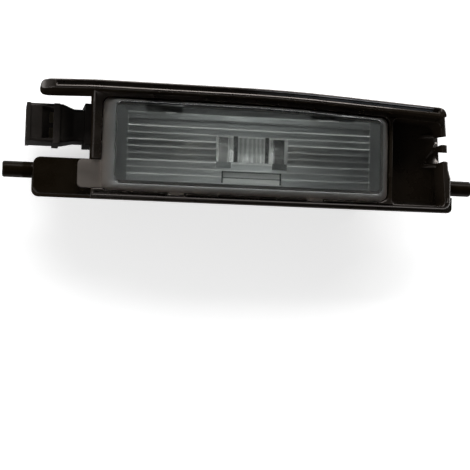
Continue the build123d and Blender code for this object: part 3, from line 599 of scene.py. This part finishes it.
# Lens, in millimetres: a drafted pan whose outline follows the bent top edge
LENS_BASE = 16.0
LENS_FRONT = 22.0
LENS_EDGE = 1.4
LENS_CORNER = 1.7
LENS_HALF = 33.05
LENS_BOTTOM = -11.3
LENS_TOP = 9.35
BEND_X = 7.91
BEND_RADIUS = 397.0
LENS_DRAFT = radians(14)
LENS_END_DRAFT = radians(29)
FACE_ROUND = 0.4
FACE_STEPS = 6
CORNER_STEPS = 8
BEND_STEPS = 12
CORE_WALL = 1.4
CORE_FACE = 20.2
CORE_DRAFT = radians(8)
CORE_END_DRAFT = radians(20)
CORE_CORNER = 0.6

# Flutes on the inner face, and the prism window, feet and pad in front of the bulb
FIELD_HALF = 27.7
FIELD_BOTTOM = -9.2
FLUTE_PITCH = 1.53
FLUTE_COUNT = 10
FLUTE_DEPTH = 0.15
FLUTE_STEPS = 14
WINDOW_X = 0.4
WINDOW_HALF = 8.1
WINDOW_BOTTOM = -4.22
WINDOW_TOP = 1.58
WINDOW_DEPTH = 0.8
PRISM_PITCH = 1.05
PRISM_COUNT = 6
PRISM_DEPTH = 0.12
PRISM_STEPS = 8
GROOVE_WIDTH = 1.2
GROOVE_DEPTH = 0.15
RIDGE_WIDTH = 1.1
RIDGE_DEPTH = 1.15
RIDGE_STEPS = 10
PRISM_HALF = PRISM_COUNT * PRISM_PITCH / 2
GROOVE_END = PRISM_HALF + GROOVE_WIDTH
RIDGE_END = GROOVE_END + RIDGE_WIDTH
RIGHT_SCALE = 1.1
RIGHT_END = 5.47
WINDOW_BEVEL = 0.6
FOOT_LENGTH = 3.4
FOOT_DROP = 1.4
PAD_HALF = 6.5
PAD_BOTTOM = -9.02
PAD_TOP = -6.32
PAD_LINE = -7.75
PAD_EDGE = 0.26
GROOVE_MARGIN = 0.2
PAD_SLIT = 0.32
TOP_LINE = 0.30
STEP_WIDTH = 0.012
CREST_FLAT = 0.08
CREST_HALF = 0.15
END_LINE = 0.15

# Finish of the lens by region: haze is its roughness, frost the share that isn't clear, and tint its colour.
# Much of the frost is painted light: the crest lines, the field's end lines, the window with its ridges,
# prisms and steps, brighter towards its bottom, the top flute's band and the pad are painted highlights,
# most in the pale
# LINE_TINT, and the grading within each flute (FLUTE_SHADE) is painted shade.
FIELD_TINT = (0.705, 0.725, 0.715)
LINE_TINT = (0.97, 0.97, 0.94)
SIDE_TINT = (0.82, 0.71, 0.63)
FIELD_HAZE = 0.34
CLEAR_HAZE = 0.10
EDGE_HAZE = 0.14
MARGIN_HAZE = 0.30
FIELD_FROST = 0.05
MIDDLE_FROST = 0.53
LOW_FROST = 0.26
FLUTE_SHADE = 0.8
DARK_BAND = 0.45
TOP_FROST = 0.34
TOP_DARK = 0.25
TOP_DARK_SHARE = 0.22
LOW_CREST = 0.4
CREST_FADE = 0.5
FROST_X = -2.0
FROST_REACH = 25.0
BRIGHT_CREST = 1.0
FAINT_CREST = 0.45
FACE_FROST = 0.02
MARGIN_FROST = 0.12
SIDE_FROST = 0.13
STEP_FROST = 0.45
END_FROST = 0.30
PRISM_FROST = 0.52
PLAIN_FROST = 0.50
RIDGE_FROST = 1.0
FOOT_FROST = 0.22
GROOVE_FROST = 0.07
DARK_PANEL_FROST = 0.18
PAD_FROST = 0.62
LOW_PAD_FROST = 0.74
PAD_LINE_FROST = 0.34
UPPER_LIFT = 0.50
LIFT_RUN = 2.4

# Lug at the lower left and tabs along the bottom edge
LUG_LEFT = -38.25
LUG_BOTTOM = -10.95
LUG_TOP = -4.7
LUG_CORNER = 1.0
TAB_X = 16.0
TAB_HALF = 1.75
TAB_REACH = 0.6


def rounded_loop(corners, z):
    """Points round a polygon whose corners are (x, y, radius, steps), at a height."""
    points = []
    for index, (x, y, radius, steps) in enumerate(corners):
        here = Vector((x, y))
        before = (Vector(corners[index - 1][:2]) - here).normalized()
        after = (Vector(corners[(index + 1) % len(corners)][:2]) - here).normalized()
        half_angle = before.angle(after) / 2
        reach = radius / tan(half_angle)
        centre = here + (before + after).normalized() * radius / sin(half_angle)
        start = here + before * reach - centre
        sweep = start.angle_signed(here + after * reach - centre)
        for step in range(steps + 1):
            spoke = start.copy()
            spoke.rotate(Matrix.Rotation(-sweep * step / steps, 2))
            points.append((*(centre + spoke), z))
    return points


def lens_loop(inset, end_inset, corner, z):
    """The lens outline moved in all round, and at the ends by an amount of its own."""
    side = LENS_HALF - end_inset
    level = LENS_TOP - inset
    bend = BEND_X - inset * tan(BEND_ANGLE / 2)
    right_level = level - (side - bend) * tan(BEND_ANGLE)
    bottom = LENS_BOTTOM + inset
    return rounded_loop(
        [
            (-side, bottom, corner, CORNER_STEPS),
            (-side, level, corner, CORNER_STEPS),
            (bend, level, BEND_RADIUS - inset, BEND_STEPS),
            (side, right_level, corner, CORNER_STEPS),
            (side, bottom, corner, CORNER_STEPS),
        ],
        z,
    )


def arc_depth(share, depth, width):
    """Depth of a circular arc of a given sagitta and width, at a share of the width."""
    radius = (width * width / 4 + depth * depth) / (2 * depth)
    away = (share - 0.5) * width
    return sqrt(radius * radius - away * away) - (radius - depth)


def smooth_step(share):
    """A share from nothing to one, eased at both ends."""
    return share * share * (3 - 2 * share)


def window_place(x):
    """Place in the window's section: the right half of the section is a little narrower."""
    return x * RIGHT_SCALE if 0 < x < RIGHT_END / RIGHT_SCALE else x


def window_depth(x):
    """Section of the prism window along X, measured from its middle."""
    x = window_place(x)
    away = abs(x)
    if away < PRISM_HALF:
        share = ((x + PRISM_HALF) / PRISM_PITCH) % 1.0
        return GROOVE_DEPTH + arc_depth(share, PRISM_DEPTH, PRISM_PITCH)
    if away < GROOVE_END:
        return GROOVE_DEPTH
    if away < RIDGE_END:
        share = (away - GROOVE_END) / RIDGE_WIDTH
        rise = GROOVE_DEPTH * (1 - share) * (1 - 2 * share)
        return rise + 4 * RIDGE_DEPTH * share * (1 - share) + WINDOW_DEPTH * share * (2 * share - 1)
    if away < WINDOW_HALF - WINDOW_BEVEL:
        return WINDOW_DEPTH
    return WINDOW_DEPTH + (GROOVE_DEPTH - WINDOW_DEPTH) * (away - WINDOW_HALF + WINDOW_BEVEL) / WINDOW_BEVEL


def in_optics(x, y):
    """Whether a place on the inner face lies behind the window, a foot or the pad."""
    away = abs(x - WINDOW_X)
    in_window = away < WINDOW_HALF and WINDOW_BOTTOM < y < WINDOW_TOP
    beside_prisms = WINDOW_HALF - FOOT_LENGTH < away < WINDOW_HALF
    in_foot = beside_prisms and WINDOW_BOTTOM - FOOT_DROP < y <= WINDOW_BOTTOM
    in_pad = away < PAD_HALF + PAD_SLIT and PAD_BOTTOM < y < PAD_TOP
    return in_window or in_foot or in_pad


def inner_depth(x, y):
    """How far the inner face stands into the chamber at a place."""
    if in_optics(x, y):
        if y > WINDOW_BOTTOM:
            return window_depth(x - WINDOW_X)
        if y < PAD_TOP and abs(x - WINDOW_X) > PAD_HALF:
            return 0.0
        return WINDOW_DEPTH
    if abs(x) < FIELD_HALF:
        share = (y - FIELD_BOTTOM) / FLUTE_PITCH
        if 0 < share < FLUTE_COUNT:
            return arc_depth(share % 1.0, FLUTE_DEPTH, FLUTE_PITCH)
    return 0.0


def steps_at(places):
    """Pairs of grid lines a hair apart, for upright steps."""
    return [place + side * STEP_WIDTH / 2 for place in places for side in (-1, 1)]


def grid_columns():
    """Grid lines across the field: steps at the edges, and fine lines where the window curves."""
    fine = [-PRISM_HALF + PRISM_PITCH * i / PRISM_STEPS for i in range(PRISM_COUNT * PRISM_STEPS + 1)]
    for side in (-1, 1):
        fine += [side * (GROOVE_END + RIDGE_WIDTH * i / RIDGE_STEPS) for i in range(RIDGE_STEPS + 1)]
        fine += [side * (GROOVE_END - GROOVE_MARGIN), side * (PRISM_HALF + GROOVE_MARGIN)]
        fine += steps_at([side * (WINDOW_HALF - set_in) for set_in in (0.0, WINDOW_BEVEL, FOOT_LENGTH)])
        fine += steps_at([side * PAD_HALF, side * (PAD_HALF + PAD_SLIT)])
    ends = steps_at([-FIELD_HALF, FIELD_HALF, END_LINE - FIELD_HALF, FIELD_HALF - END_LINE])
    placed = [x / RIGHT_SCALE if 0 < x <= RIGHT_END - STEP_WIDTH else x for x in fine]
    return sorted(ends + [WINDOW_X + x for x in placed])


def grid_rows():
    """Grid lines along the field: fine lines round each flute, and steps at the window and the pad."""
    lines = [FIELD_BOTTOM + FLUTE_PITCH * i / FLUTE_STEPS for i in range(FLUTE_COUNT * FLUTE_STEPS + 1)]
    crests = [FIELD_BOTTOM + FLUTE_PITCH * i for i in range(1, FLUTE_COUNT)]
    for away in (-CREST_HALF, -CREST_FLAT, CREST_FLAT, CREST_HALF):
        lines += [crest + away for crest in crests]
    steps = steps_at([
        WINDOW_TOP, WINDOW_TOP - TOP_LINE, WINDOW_BOTTOM, WINDOW_BOTTOM - FOOT_DROP,
        PAD_TOP, PAD_TOP - PAD_EDGE, PAD_LINE + PAD_EDGE / 2, PAD_LINE - PAD_EDGE / 2,
        PAD_BOTTOM + PAD_EDGE, PAD_BOTTOM,
    ])
    clear = [y for y in lines if all(abs(y - step) > STEP_WIDTH for step in steps)]
    return sorted(clear + steps)


def add_loop(work, points):
    """Adds a ring of vertices, in millimetres."""
    return [work.verts.new(Vector(point) * MM) for point in points]


def bridge(work, lower, upper):
    """Faces between two rings with as many points."""
    count = len(lower)
    for i in range(count):
        j = (i + 1) % count
        work.faces.new((lower[i], lower[j], upper[j], upper[i]))


def prism(name, points, low, high):
    """A closed upright prism over an outline, for joining to the lens."""
    work = bmesh.new()
    bottom = add_loop(work, [(x, y, low) for x, y, _ in points])
    top = add_loop(work, [(x, y, high) for x, y, _ in points])
    bridge(work, bottom, top)
    work.faces.new(bottom)
    work.faces.new(top)
    bmesh.ops.recalc_face_normals(work, faces=work.faces)
    solid = bpy.data.objects.new(name, to_mesh(work, name))
    bpy.context.scene.collection.objects.link(solid)
    return solid


def lens_outside(work):
    """Outer walls and face of the pan. Returns the ring at its foot."""
    edge_top = LENS_BASE + LENS_EDGE
    side_height = LENS_FRONT - FACE_ROUND - edge_top
    inset = side_height * tan(LENS_DRAFT)
    end_inset = side_height * tan(LENS_END_DRAFT)
    rings = [
        add_loop(work, lens_loop(0, 0, LENS_CORNER, LENS_BASE)),
        add_loop(work, lens_loop(0, 0, LENS_CORNER, edge_top)),
    ]
    for step in range(FACE_STEPS + 1):
        turn = pi / 2 * step / FACE_STEPS
        draw = FACE_ROUND * (1 - cos(turn))
        height = LENS_FRONT - FACE_ROUND * (1 - sin(turn))
        rings.append(add_loop(work, lens_loop(inset + draw, end_inset + draw, LENS_CORNER, height)))
    for lower, upper in zip(rings, rings[1:]):
        bridge(work, lower, upper)
    work.faces.new(rings[-1])
    return rings[0]


def lens_core(work, foot):
    """Inner walls of the pan, from the ring at its foot."""
    depth = CORE_FACE - LENS_BASE
    inset = CORE_WALL + depth * tan(CORE_DRAFT)
    end_inset = CORE_WALL + depth * tan(CORE_END_DRAFT)
    base = add_loop(work, lens_loop(CORE_WALL, CORE_WALL, CORE_CORNER, LENS_BASE))
    top = add_loop(work, lens_loop(inset, end_inset, CORE_CORNER, CORE_FACE))
    bridge(work, foot, base)
    bridge(work, base, top)


def lens_field(work):
    """Grid of the inner face with its flutes, window, feet and pad."""
    columns = grid_columns()
    rows = grid_rows()
    field = []
    for y in rows:
        at_edge = y in (rows[0], rows[-1])
        line = []
        for x in columns:
            at_end = at_edge or x in (columns[0], columns[-1])
            height = CORE_FACE - (0.0 if at_end else inner_depth(x, y))
            line.append(work.verts.new(Vector((x, y, height)) * MM))
        field.append(line)
    for lower, upper in zip(field, field[1:]):
        for i in range(len(columns) - 1):
            work.faces.new((lower[i], lower[i + 1], upper[i + 1], upper[i]))


def lens_pan():
    """Closed mesh of the pan: a flat rim joins the grid to the inner walls."""
    work = bmesh.new()
    lens_core(work, lens_outside(work))
    lens_field(work)
    rim = [edge for edge in work.edges if edge.is_boundary]
    bmesh.ops.triangle_fill(work, use_beauty=True, use_dissolve=False, edges=rim)
    bmesh.ops.recalc_face_normals(work, faces=work.faces)
    return to_mesh(work, "lens_pan")


def field_frost(x, y):
    """Frost of the flutes: most behind the middle of the lens and towards the lower left. Each flute is
    graded as painted shade, lighter towards its top, and the top flute carries a painted highlight band.
    """
    middle = max(0.0, 1 - abs(x - FROST_X) / FROST_REACH)
    low_left = max(0.0, -y / LENS_TOP) * max(0.0, (FIELD_HALF - x) / (2 * FIELD_HALF))
    frost = FIELD_FROST + MIDDLE_FROST * middle + LOW_FROST * low_left
    share = (y - FIELD_BOTTOM) / FLUTE_PITCH
    frost *= 1 + FLUTE_SHADE * (share % 1.0 - 0.5)
    if abs(share - FLUTE_COUNT + 1) < TOP_DARK_SHARE:
        return frost * TOP_DARK
    if share > FLUTE_COUNT - 1:
        return frost + TOP_FROST * middle
    if WINDOW_BOTTOM < y < 0:
        return frost * DARK_BAND
    under_window = abs(x - WINDOW_X) < WINDOW_HALF - FOOT_LENGTH and PAD_TOP < y < WINDOW_BOTTOM
    return frost + (PLAIN_FROST if under_window else 0.0)


def on_crest(y):
    """Number of the crest between flutes that lies at a height, or nothing between crests."""
    crest = round((y - FIELD_BOTTOM) / FLUTE_PITCH)
    return crest if abs(y - FIELD_BOTTOM - crest * FLUTE_PITCH) < (CREST_FLAT + CREST_HALF) / 2 else None


def crest_frost(crest, x):
    """Painted highlight along a crest, given as frost: every other one shows more, and the lower ones fade
    to the right.
    """
    upper = crest > FLUTE_COUNT / 2
    odd = crest % 2 == 1
    fade = 0.0 if upper else LOW_CREST + CREST_FADE * max(0.0, x / FIELD_HALF)
    return max(0.0, 1 - fade) * (FAINT_CREST if odd == upper else BRIGHT_CREST)


def window_frost(x, y):
    """Frost behind the window, as painted highlights: bright ridges and prisms, brighter towards the bottom.
    """
    x = window_place(x)
    away = abs(x)
    middle = (WINDOW_TOP + WINDOW_BOTTOM) / 2
    fall = min(1.0, max(0.0, 0.5 + (middle - y) / LIFT_RUN))
    lift = UPPER_LIFT + (1 - UPPER_LIFT) * smooth_step(fall)
    if away < PRISM_HALF and y < WINDOW_TOP - TOP_LINE:
        share = abs(((x + PRISM_HALF) / PRISM_PITCH) % 1.0 - 0.5)
        return lift * (PRISM_FROST + (RIDGE_FROST - PRISM_FROST) * 2 * share)
    if PRISM_HALF < away < GROOVE_END - GROOVE_MARGIN / 2:
        return GROOVE_FROST
    if y > WINDOW_TOP - TOP_LINE:
        return RIDGE_FROST
    if away < RIDGE_END:
        return lift * RIDGE_FROST
    if away > WINDOW_HALF - WINDOW_BEVEL:
        return STEP_FROST
    return lift * (PLAIN_FROST if x < 0 else DARK_PANEL_FROST)


def optics_finish(x, y):
    """Finish of the window, its feet and the pad with its dark lines and bright lower edge; the brightness
    of the window and the pad is painted highlight.
    """
    if y > WINDOW_BOTTOM:
        return CLEAR_HAZE, window_frost(x - WINDOW_X, y), LINE_TINT
    if y > PAD_TOP:
        return CLEAR_HAZE, PLAIN_FROST if x < WINDOW_X else FOOT_FROST, FIELD_TINT
    if abs(x - WINDOW_X) > PAD_HALF:
        return CLEAR_HAZE, FACE_FROST, FIELD_TINT
    if y > PAD_TOP - PAD_EDGE or abs(y - PAD_LINE) < PAD_EDGE / 2:
        return CLEAR_HAZE, PAD_LINE_FROST, FIELD_TINT
    return CLEAR_HAZE, PAD_FROST if y > PAD_LINE else LOW_PAD_FROST, LINE_TINT


def lens_finish(x, y, z):
    """Haze, frost and tint of the lens at a place."""
    field_top = FIELD_BOTTOM + FLUTE_COUNT * FLUTE_PITCH
    inside_field = abs(x) < FIELD_HALF and FIELD_BOTTOM + STEP_WIDTH < y < field_top - STEP_WIDTH
    if inside_field and LENS_BASE + LENS_EDGE < z < CORE_FACE + STEP_WIDTH:
        if abs(x) > FIELD_HALF - END_LINE:
            return FIELD_HAZE, END_FROST, LINE_TINT
        if in_optics(x, y):
            return optics_finish(x, y)
        crest = on_crest(y)
        if crest is None or crest == FLUTE_COUNT - 1:
            return FIELD_HAZE, field_frost(x, y), FIELD_TINT
        return FIELD_HAZE, field_frost(x, y) + crest_frost(crest, x), LINE_TINT
    if z > LENS_FRONT - FACE_ROUND:
        return CLEAR_HAZE if z > LENS_FRONT - STEP_WIDTH else EDGE_HAZE, FACE_FROST, FIELD_TINT
    if z < CORE_FACE - STEP_WIDTH:
        return MARGIN_HAZE, SIDE_FROST, SIDE_TINT
    return MARGIN_HAZE, MARGIN_FROST, FIELD_TINT


def finish_lens(mesh):
    """Keeps the finish of each place on the mesh, where the material reads it."""
    haze = mesh.attributes.new("haze", "FLOAT", "POINT")
    frost = mesh.attributes.new("frost", "FLOAT", "POINT")
    tint = mesh.attributes.new("tint", "FLOAT_COLOR", "POINT")
    for index, vertex in enumerate(mesh.vertices):
        haze.data[index].value, frost.data[index].value, colour = lens_finish(*(vertex.co / MM))
        tint.data[index].color = (*colour, 1.0)


def lens_additions():
    """The lug and the two tabs, as solids to join to the pan."""
    lug_right = -LENS_HALF + CORE_WALL / 2
    lug_corners = [
        (LUG_LEFT, LUG_BOTTOM, LUG_CORNER, CORNER_STEPS),
        (LUG_LEFT, LUG_TOP, LUG_CORNER, CORNER_STEPS),
        (lug_right, LUG_TOP, STEP_WIDTH, 1),
        (lug_right, LUG_BOTTOM, STEP_WIDTH, 1),
    ]
    additions = [prism("lens_lug", rounded_loop(lug_corners, 0), LENS_BASE, LENS_BASE + LENS_EDGE)]
    for side in (-1, 1):
        left, right = side * TAB_X - TAB_HALF, side * TAB_X + TAB_HALF
        tab_corners = [
            (left, LENS_BOTTOM - TAB_REACH, STEP_WIDTH, 1),
            (left, LENS_BOTTOM + TAB_REACH, STEP_WIDTH, 1),
            (right, LENS_BOTTOM + TAB_REACH, STEP_WIDTH, 1),
            (right, LENS_BOTTOM - TAB_REACH, STEP_WIDTH, 1),
        ]
        additions.append(prism("lens_tab", rounded_loop(tab_corners, 0), LENS_BASE, LENS_BASE + LENS_EDGE))
    return additions


def make_lens():
    """The fluted lens with its lug and tabs."""
    piece = add_piece("lens_fluted", lens_pan(), "lens")
    additions = lens_additions()
    for solid in additions:
        joint = piece.modifiers.new(solid.name, "BOOLEAN")
        joint.operation = "UNION"
        joint.solver = "EXACT"
        joint.object = solid
    bpy.context.view_layer.update()
    joined = bpy.data.meshes.new_from_object(piece.evaluated_get(bpy.context.evaluated_depsgraph_get()))
    piece.modifiers.clear()
    piece.data = joined
    for solid in additions:
        bpy.data.meshes.remove(solid.data)
    joined.shade_smooth()
    joined.set_sharp_from_angle(angle=SHARP_ANGLE)
    finish_lens(joined)


make_lens()

# Bulb glass, in millimetres: thin tube with drawn-in ends, turned about the bulb's axis
GLASS_HALF = 12.5
GLASS_RADIUS = 5.0
GLASS_SHOULDER_START = 7.0
GLASS_SHOULDER_END = 10.0
GLASS_SHOULDER_STEPS = 10
GLASS_NECK_RADIUS = 3.75
GLASS_LEAD_HOLE = 0.3
GLASS_WALL = 0.5
GLASS_TURNS = 64
glass_low, glass_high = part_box("bulb_glass")
bulb_centre = (glass_low + glass_high) / 2


def glass_profile():
    """Half section of the glass from end to end, outside and back inside."""
    shoulder = []
    for step in range(GLASS_SHOULDER_STEPS + 1):
        share = step / GLASS_SHOULDER_STEPS
        x = -GLASS_SHOULDER_END + (GLASS_SHOULDER_END - GLASS_SHOULDER_START) * share
        shoulder.append((x, GLASS_NECK_RADIUS + (GLASS_RADIUS - GLASS_NECK_RADIUS) * smooth_step(share)))
    outside = [(-GLASS_HALF, GLASS_LEAD_HOLE), (-GLASS_HALF, GLASS_NECK_RADIUS)] + shoulder
    outside += [(-x, r) for x, r in reversed(outside)]
    inside = [(-GLASS_SHOULDER_END, GLASS_LEAD_HOLE)] + [(x, r - GLASS_WALL) for x, r in shoulder]
    inside += [(-x, r) for x, r in reversed(inside)]
    return outside + list(reversed(inside))


def make_glass():
    """The bulb's glass."""
    profile = glass_profile()
    work = bmesh.new()
    rings = []
    for index in range(GLASS_TURNS):
        angle = 2 * pi * index / GLASS_TURNS
        places = [Vector((x, r * cos(angle), r * sin(angle))) * MM for x, r in profile]
        rings.append([work.verts.new(bulb_centre + place) for place in places])
    for ring, following in zip(rings, rings[1:] + rings[:1]):
        bridge(work, ring, following)
    bmesh.ops.recalc_face_normals(work, faces=work.faces)
    mesh = to_mesh(work, "glass_tube")
    mesh.shade_smooth()
    mesh.set_sharp_from_angle(angle=SHARP_ANGLE)
    add_piece("glass_tube", mesh, "bulb_glass")


make_glass()

# Filament, in millimetres: a fine coil that arches between the leads
FILAMENT_HALF = 4.5
FILAMENT_RISE = 1.0
COIL_RADIUS = 0.14
COIL_WIRE = 0.035
COIL_TURNS = 48
COIL_STEPS = 12


def make_filament():
    """The filament coil as a bevelled curve."""
    curve = bpy.data.curves.new("filament_coil", "CURVE")
    curve.dimensions = "3D"
    curve.bevel_depth = COIL_WIRE * MM
    curve.bevel_resolution = 1
    spline = curve.splines.new("POLY")
    count = COIL_TURNS * COIL_STEPS
    spline.points.add(count)
    for index, point in enumerate(spline.points):
        share = index / count
        angle = 2 * pi * COIL_TURNS * share
        x = FILAMENT_HALF * (2 * share - 1)
        arch = FILAMENT_RISE * 4 * share * (1 - share)
        place = Vector((x, COIL_RADIUS * cos(angle), arch + COIL_RADIUS * sin(angle)))
        point.co = (*(bulb_centre + place * MM), 1.0)
    add_piece("filament_coil", curve, "bulb_filament")


make_filament()

# Floor: white to the camera and in reflections, with the lamp's soft shadow
FLOOR_HALF = 1.2
FLOOR_DROP = 0.05 * MM
FLOOR_TONES = ((0.90, 0.90, 0.90), (0.93, 0.93, 0.93))
FLOOR_ROUGH = 0.9
FLOOR_GLOW = (0.55, 0.55, 0.55, 1.0)


def floor_white():
    """Matt white that glows where the camera, a reflection or a clear piece shows it."""
    paint = Paint("floor_white")
    rays = paint.nodes.new("ShaderNodeLightPath").outputs
    shown = paint.largest(rays["Is Camera Ray"], rays["Is Glossy Ray"], rays["Is Transmission Ray"])
    tone = paint.ramp(paint.noise(scale=6, detail=2), FLOOR_TONES)
    paint.feed(Base_Color=tone, Emission_Strength=shown)
    paint.set(Roughness=FLOOR_ROUGH, Specular_IOR_Level=0.0, Emission_Color=FLOOR_GLOW)
    return paint.material


def add_floor():
    """A wide floor just under the lamp."""
    signs = ((-1, -1), (1, -1), (1, 1), (-1, 1))
    mesh = bpy.data.meshes.new("floor")
    mesh.from_pydata([(FLOOR_HALF * x, FLOOR_HALF * y, 0.0) for x, y in signs], [], [(0, 1, 2, 3)])
    mesh.materials.append(floor_white())
    floor = bpy.data.objects.new("floor", mesh)
    floor.location.z = cad_low.z - FLOOR_DROP
    bpy.context.scene.collection.objects.link(floor)


add_floor()

# World: soft and even, dimmer overhead than round the sides, and dimmer beyond the lamp's lower edge
SKY_HEIGHTS = (0.30, 0.86)
SKY_LEVELS = (0.62, 0.03)
LOWER_STRENGTH = 0.35


def light_world():
    """Lights the world from all sides."""
    world = bpy.data.worlds.new("studio")
    bpy.context.scene.world = world
    world.use_nodes = True
    tree = world.node_tree
    background = tree.nodes["Background"]
    split = tree.nodes.new("ShaderNodeSeparateXYZ")
    tree.links.new(tree.nodes.new("ShaderNodeTexCoord").outputs["Generated"], split.inputs["Vector"])
    sky = tree.nodes.new("ShaderNodeValToRGB")
    for element, height, level in zip(sky.color_ramp.elements, SKY_HEIGHTS, SKY_LEVELS):
        element.position = height
        element.color = (level, level, level, 1.0)
    tree.links.new(split.outputs["Z"], sky.inputs["Fac"])
    tree.links.new(sky.outputs["Color"], background.inputs["Color"])
    side = tree.nodes.new("ShaderNodeMapRange")
    side.inputs["From Min"].default_value = -1.0
    side.inputs["To Min"].default_value = LOWER_STRENGTH
    tree.links.new(split.outputs["Y"], side.inputs["Value"])
    tree.links.new(side.outputs["Result"], background.inputs["Strength"])


light_world()

# Camera, fitted to the photograph: the target lies on a given pixel of the picture
IMAGE_SIZE = 470
SENSOR = 36.0
FOCAL_PIXELS = 1337.0
NEAR_CLIP = 0.01
TARGET = Vector((0.0, 0.0, 22.0)) * MM
TARGET_PIXEL = (251.58, 143.38)
CAMERA_DISTANCE = 300.0 * MM
CAMERA_YAW = radians(10.937)
CAMERA_PITCH = radians(7.574)
CAMERA_ROLL = radians(1.407)


def camera_matrix():
    """Place and turn of the camera."""
    back = Vector((
        -sin(CAMERA_YAW) * cos(CAMERA_PITCH),
        -sin(CAMERA_PITCH),
        cos(CAMERA_YAW) * cos(CAMERA_PITCH),
    ))
    right = Vector((0, 1, 0)).cross(back).normalized()
    up = back.cross(right)
    right_rolled = cos(CAMERA_ROLL) * right + sin(CAMERA_ROLL) * up
    up_rolled = -sin(CAMERA_ROLL) * right + cos(CAMERA_ROLL) * up
    aim = Vector((
        (TARGET_PIXEL[0] - IMAGE_SIZE / 2) / FOCAL_PIXELS,
        -(TARGET_PIXEL[1] - IMAGE_SIZE / 2) / FOCAL_PIXELS,
        1.0,
    ))
    turn = Vector((0, 0, 1)).rotation_difference(aim.normalized()).to_matrix()
    across, upward, ahead = turn @ Matrix((right_rolled, up_rolled, -back))
    axes = Matrix((across, upward, -ahead)).transposed()
    return Matrix.Translation(TARGET + CAMERA_DISTANCE * back) @ axes.to_4x4()


def add_camera():
    """The camera of the photograph."""
    data = bpy.data.cameras.new("camera")
    data.sensor_width = SENSOR
    data.lens = FOCAL_PIXELS * SENSOR / IMAGE_SIZE
    data.clip_start = NEAR_CLIP
    camera = bpy.data.objects.new("camera", data)
    camera.matrix_world = camera_matrix()
    bpy.context.scene.collection.objects.link(camera)
    bpy.context.scene.camera = camera


add_camera()

# Softboxes: place and size in metres, and power in watts
SOFTBOXES = {
    "key_softbox": ((-0.05, 0.58, 0.40), (0.9, 0.25), 4.9),
    "fill_softbox": ((-0.45, -0.30, 0.50), (0.5, 0.5), 1.6),
    "rim_softbox": ((0.50, 0.52, 0.34), (0.4, 0.20), 2.0),
}


def add_softbox(name):
    """A rectangular area light that faces the lamp."""
    place, size, power = SOFTBOXES[name]
    data = bpy.data.lights.new(name, "AREA")
    data.shape = "RECTANGLE"
    data.size, data.size_y = size
    data.energy = power
    softbox = bpy.data.objects.new(name, data)
    softbox.location = place
    softbox.rotation_euler = (TARGET - Vector(place)).to_track_quat("-Z", "Y").to_euler()
    bpy.context.scene.collection.objects.link(softbox)


for softbox_name in SOFTBOXES:
    add_softbox(softbox_name)

bpy.context.scene.view_settings.view_transform = "Standard"
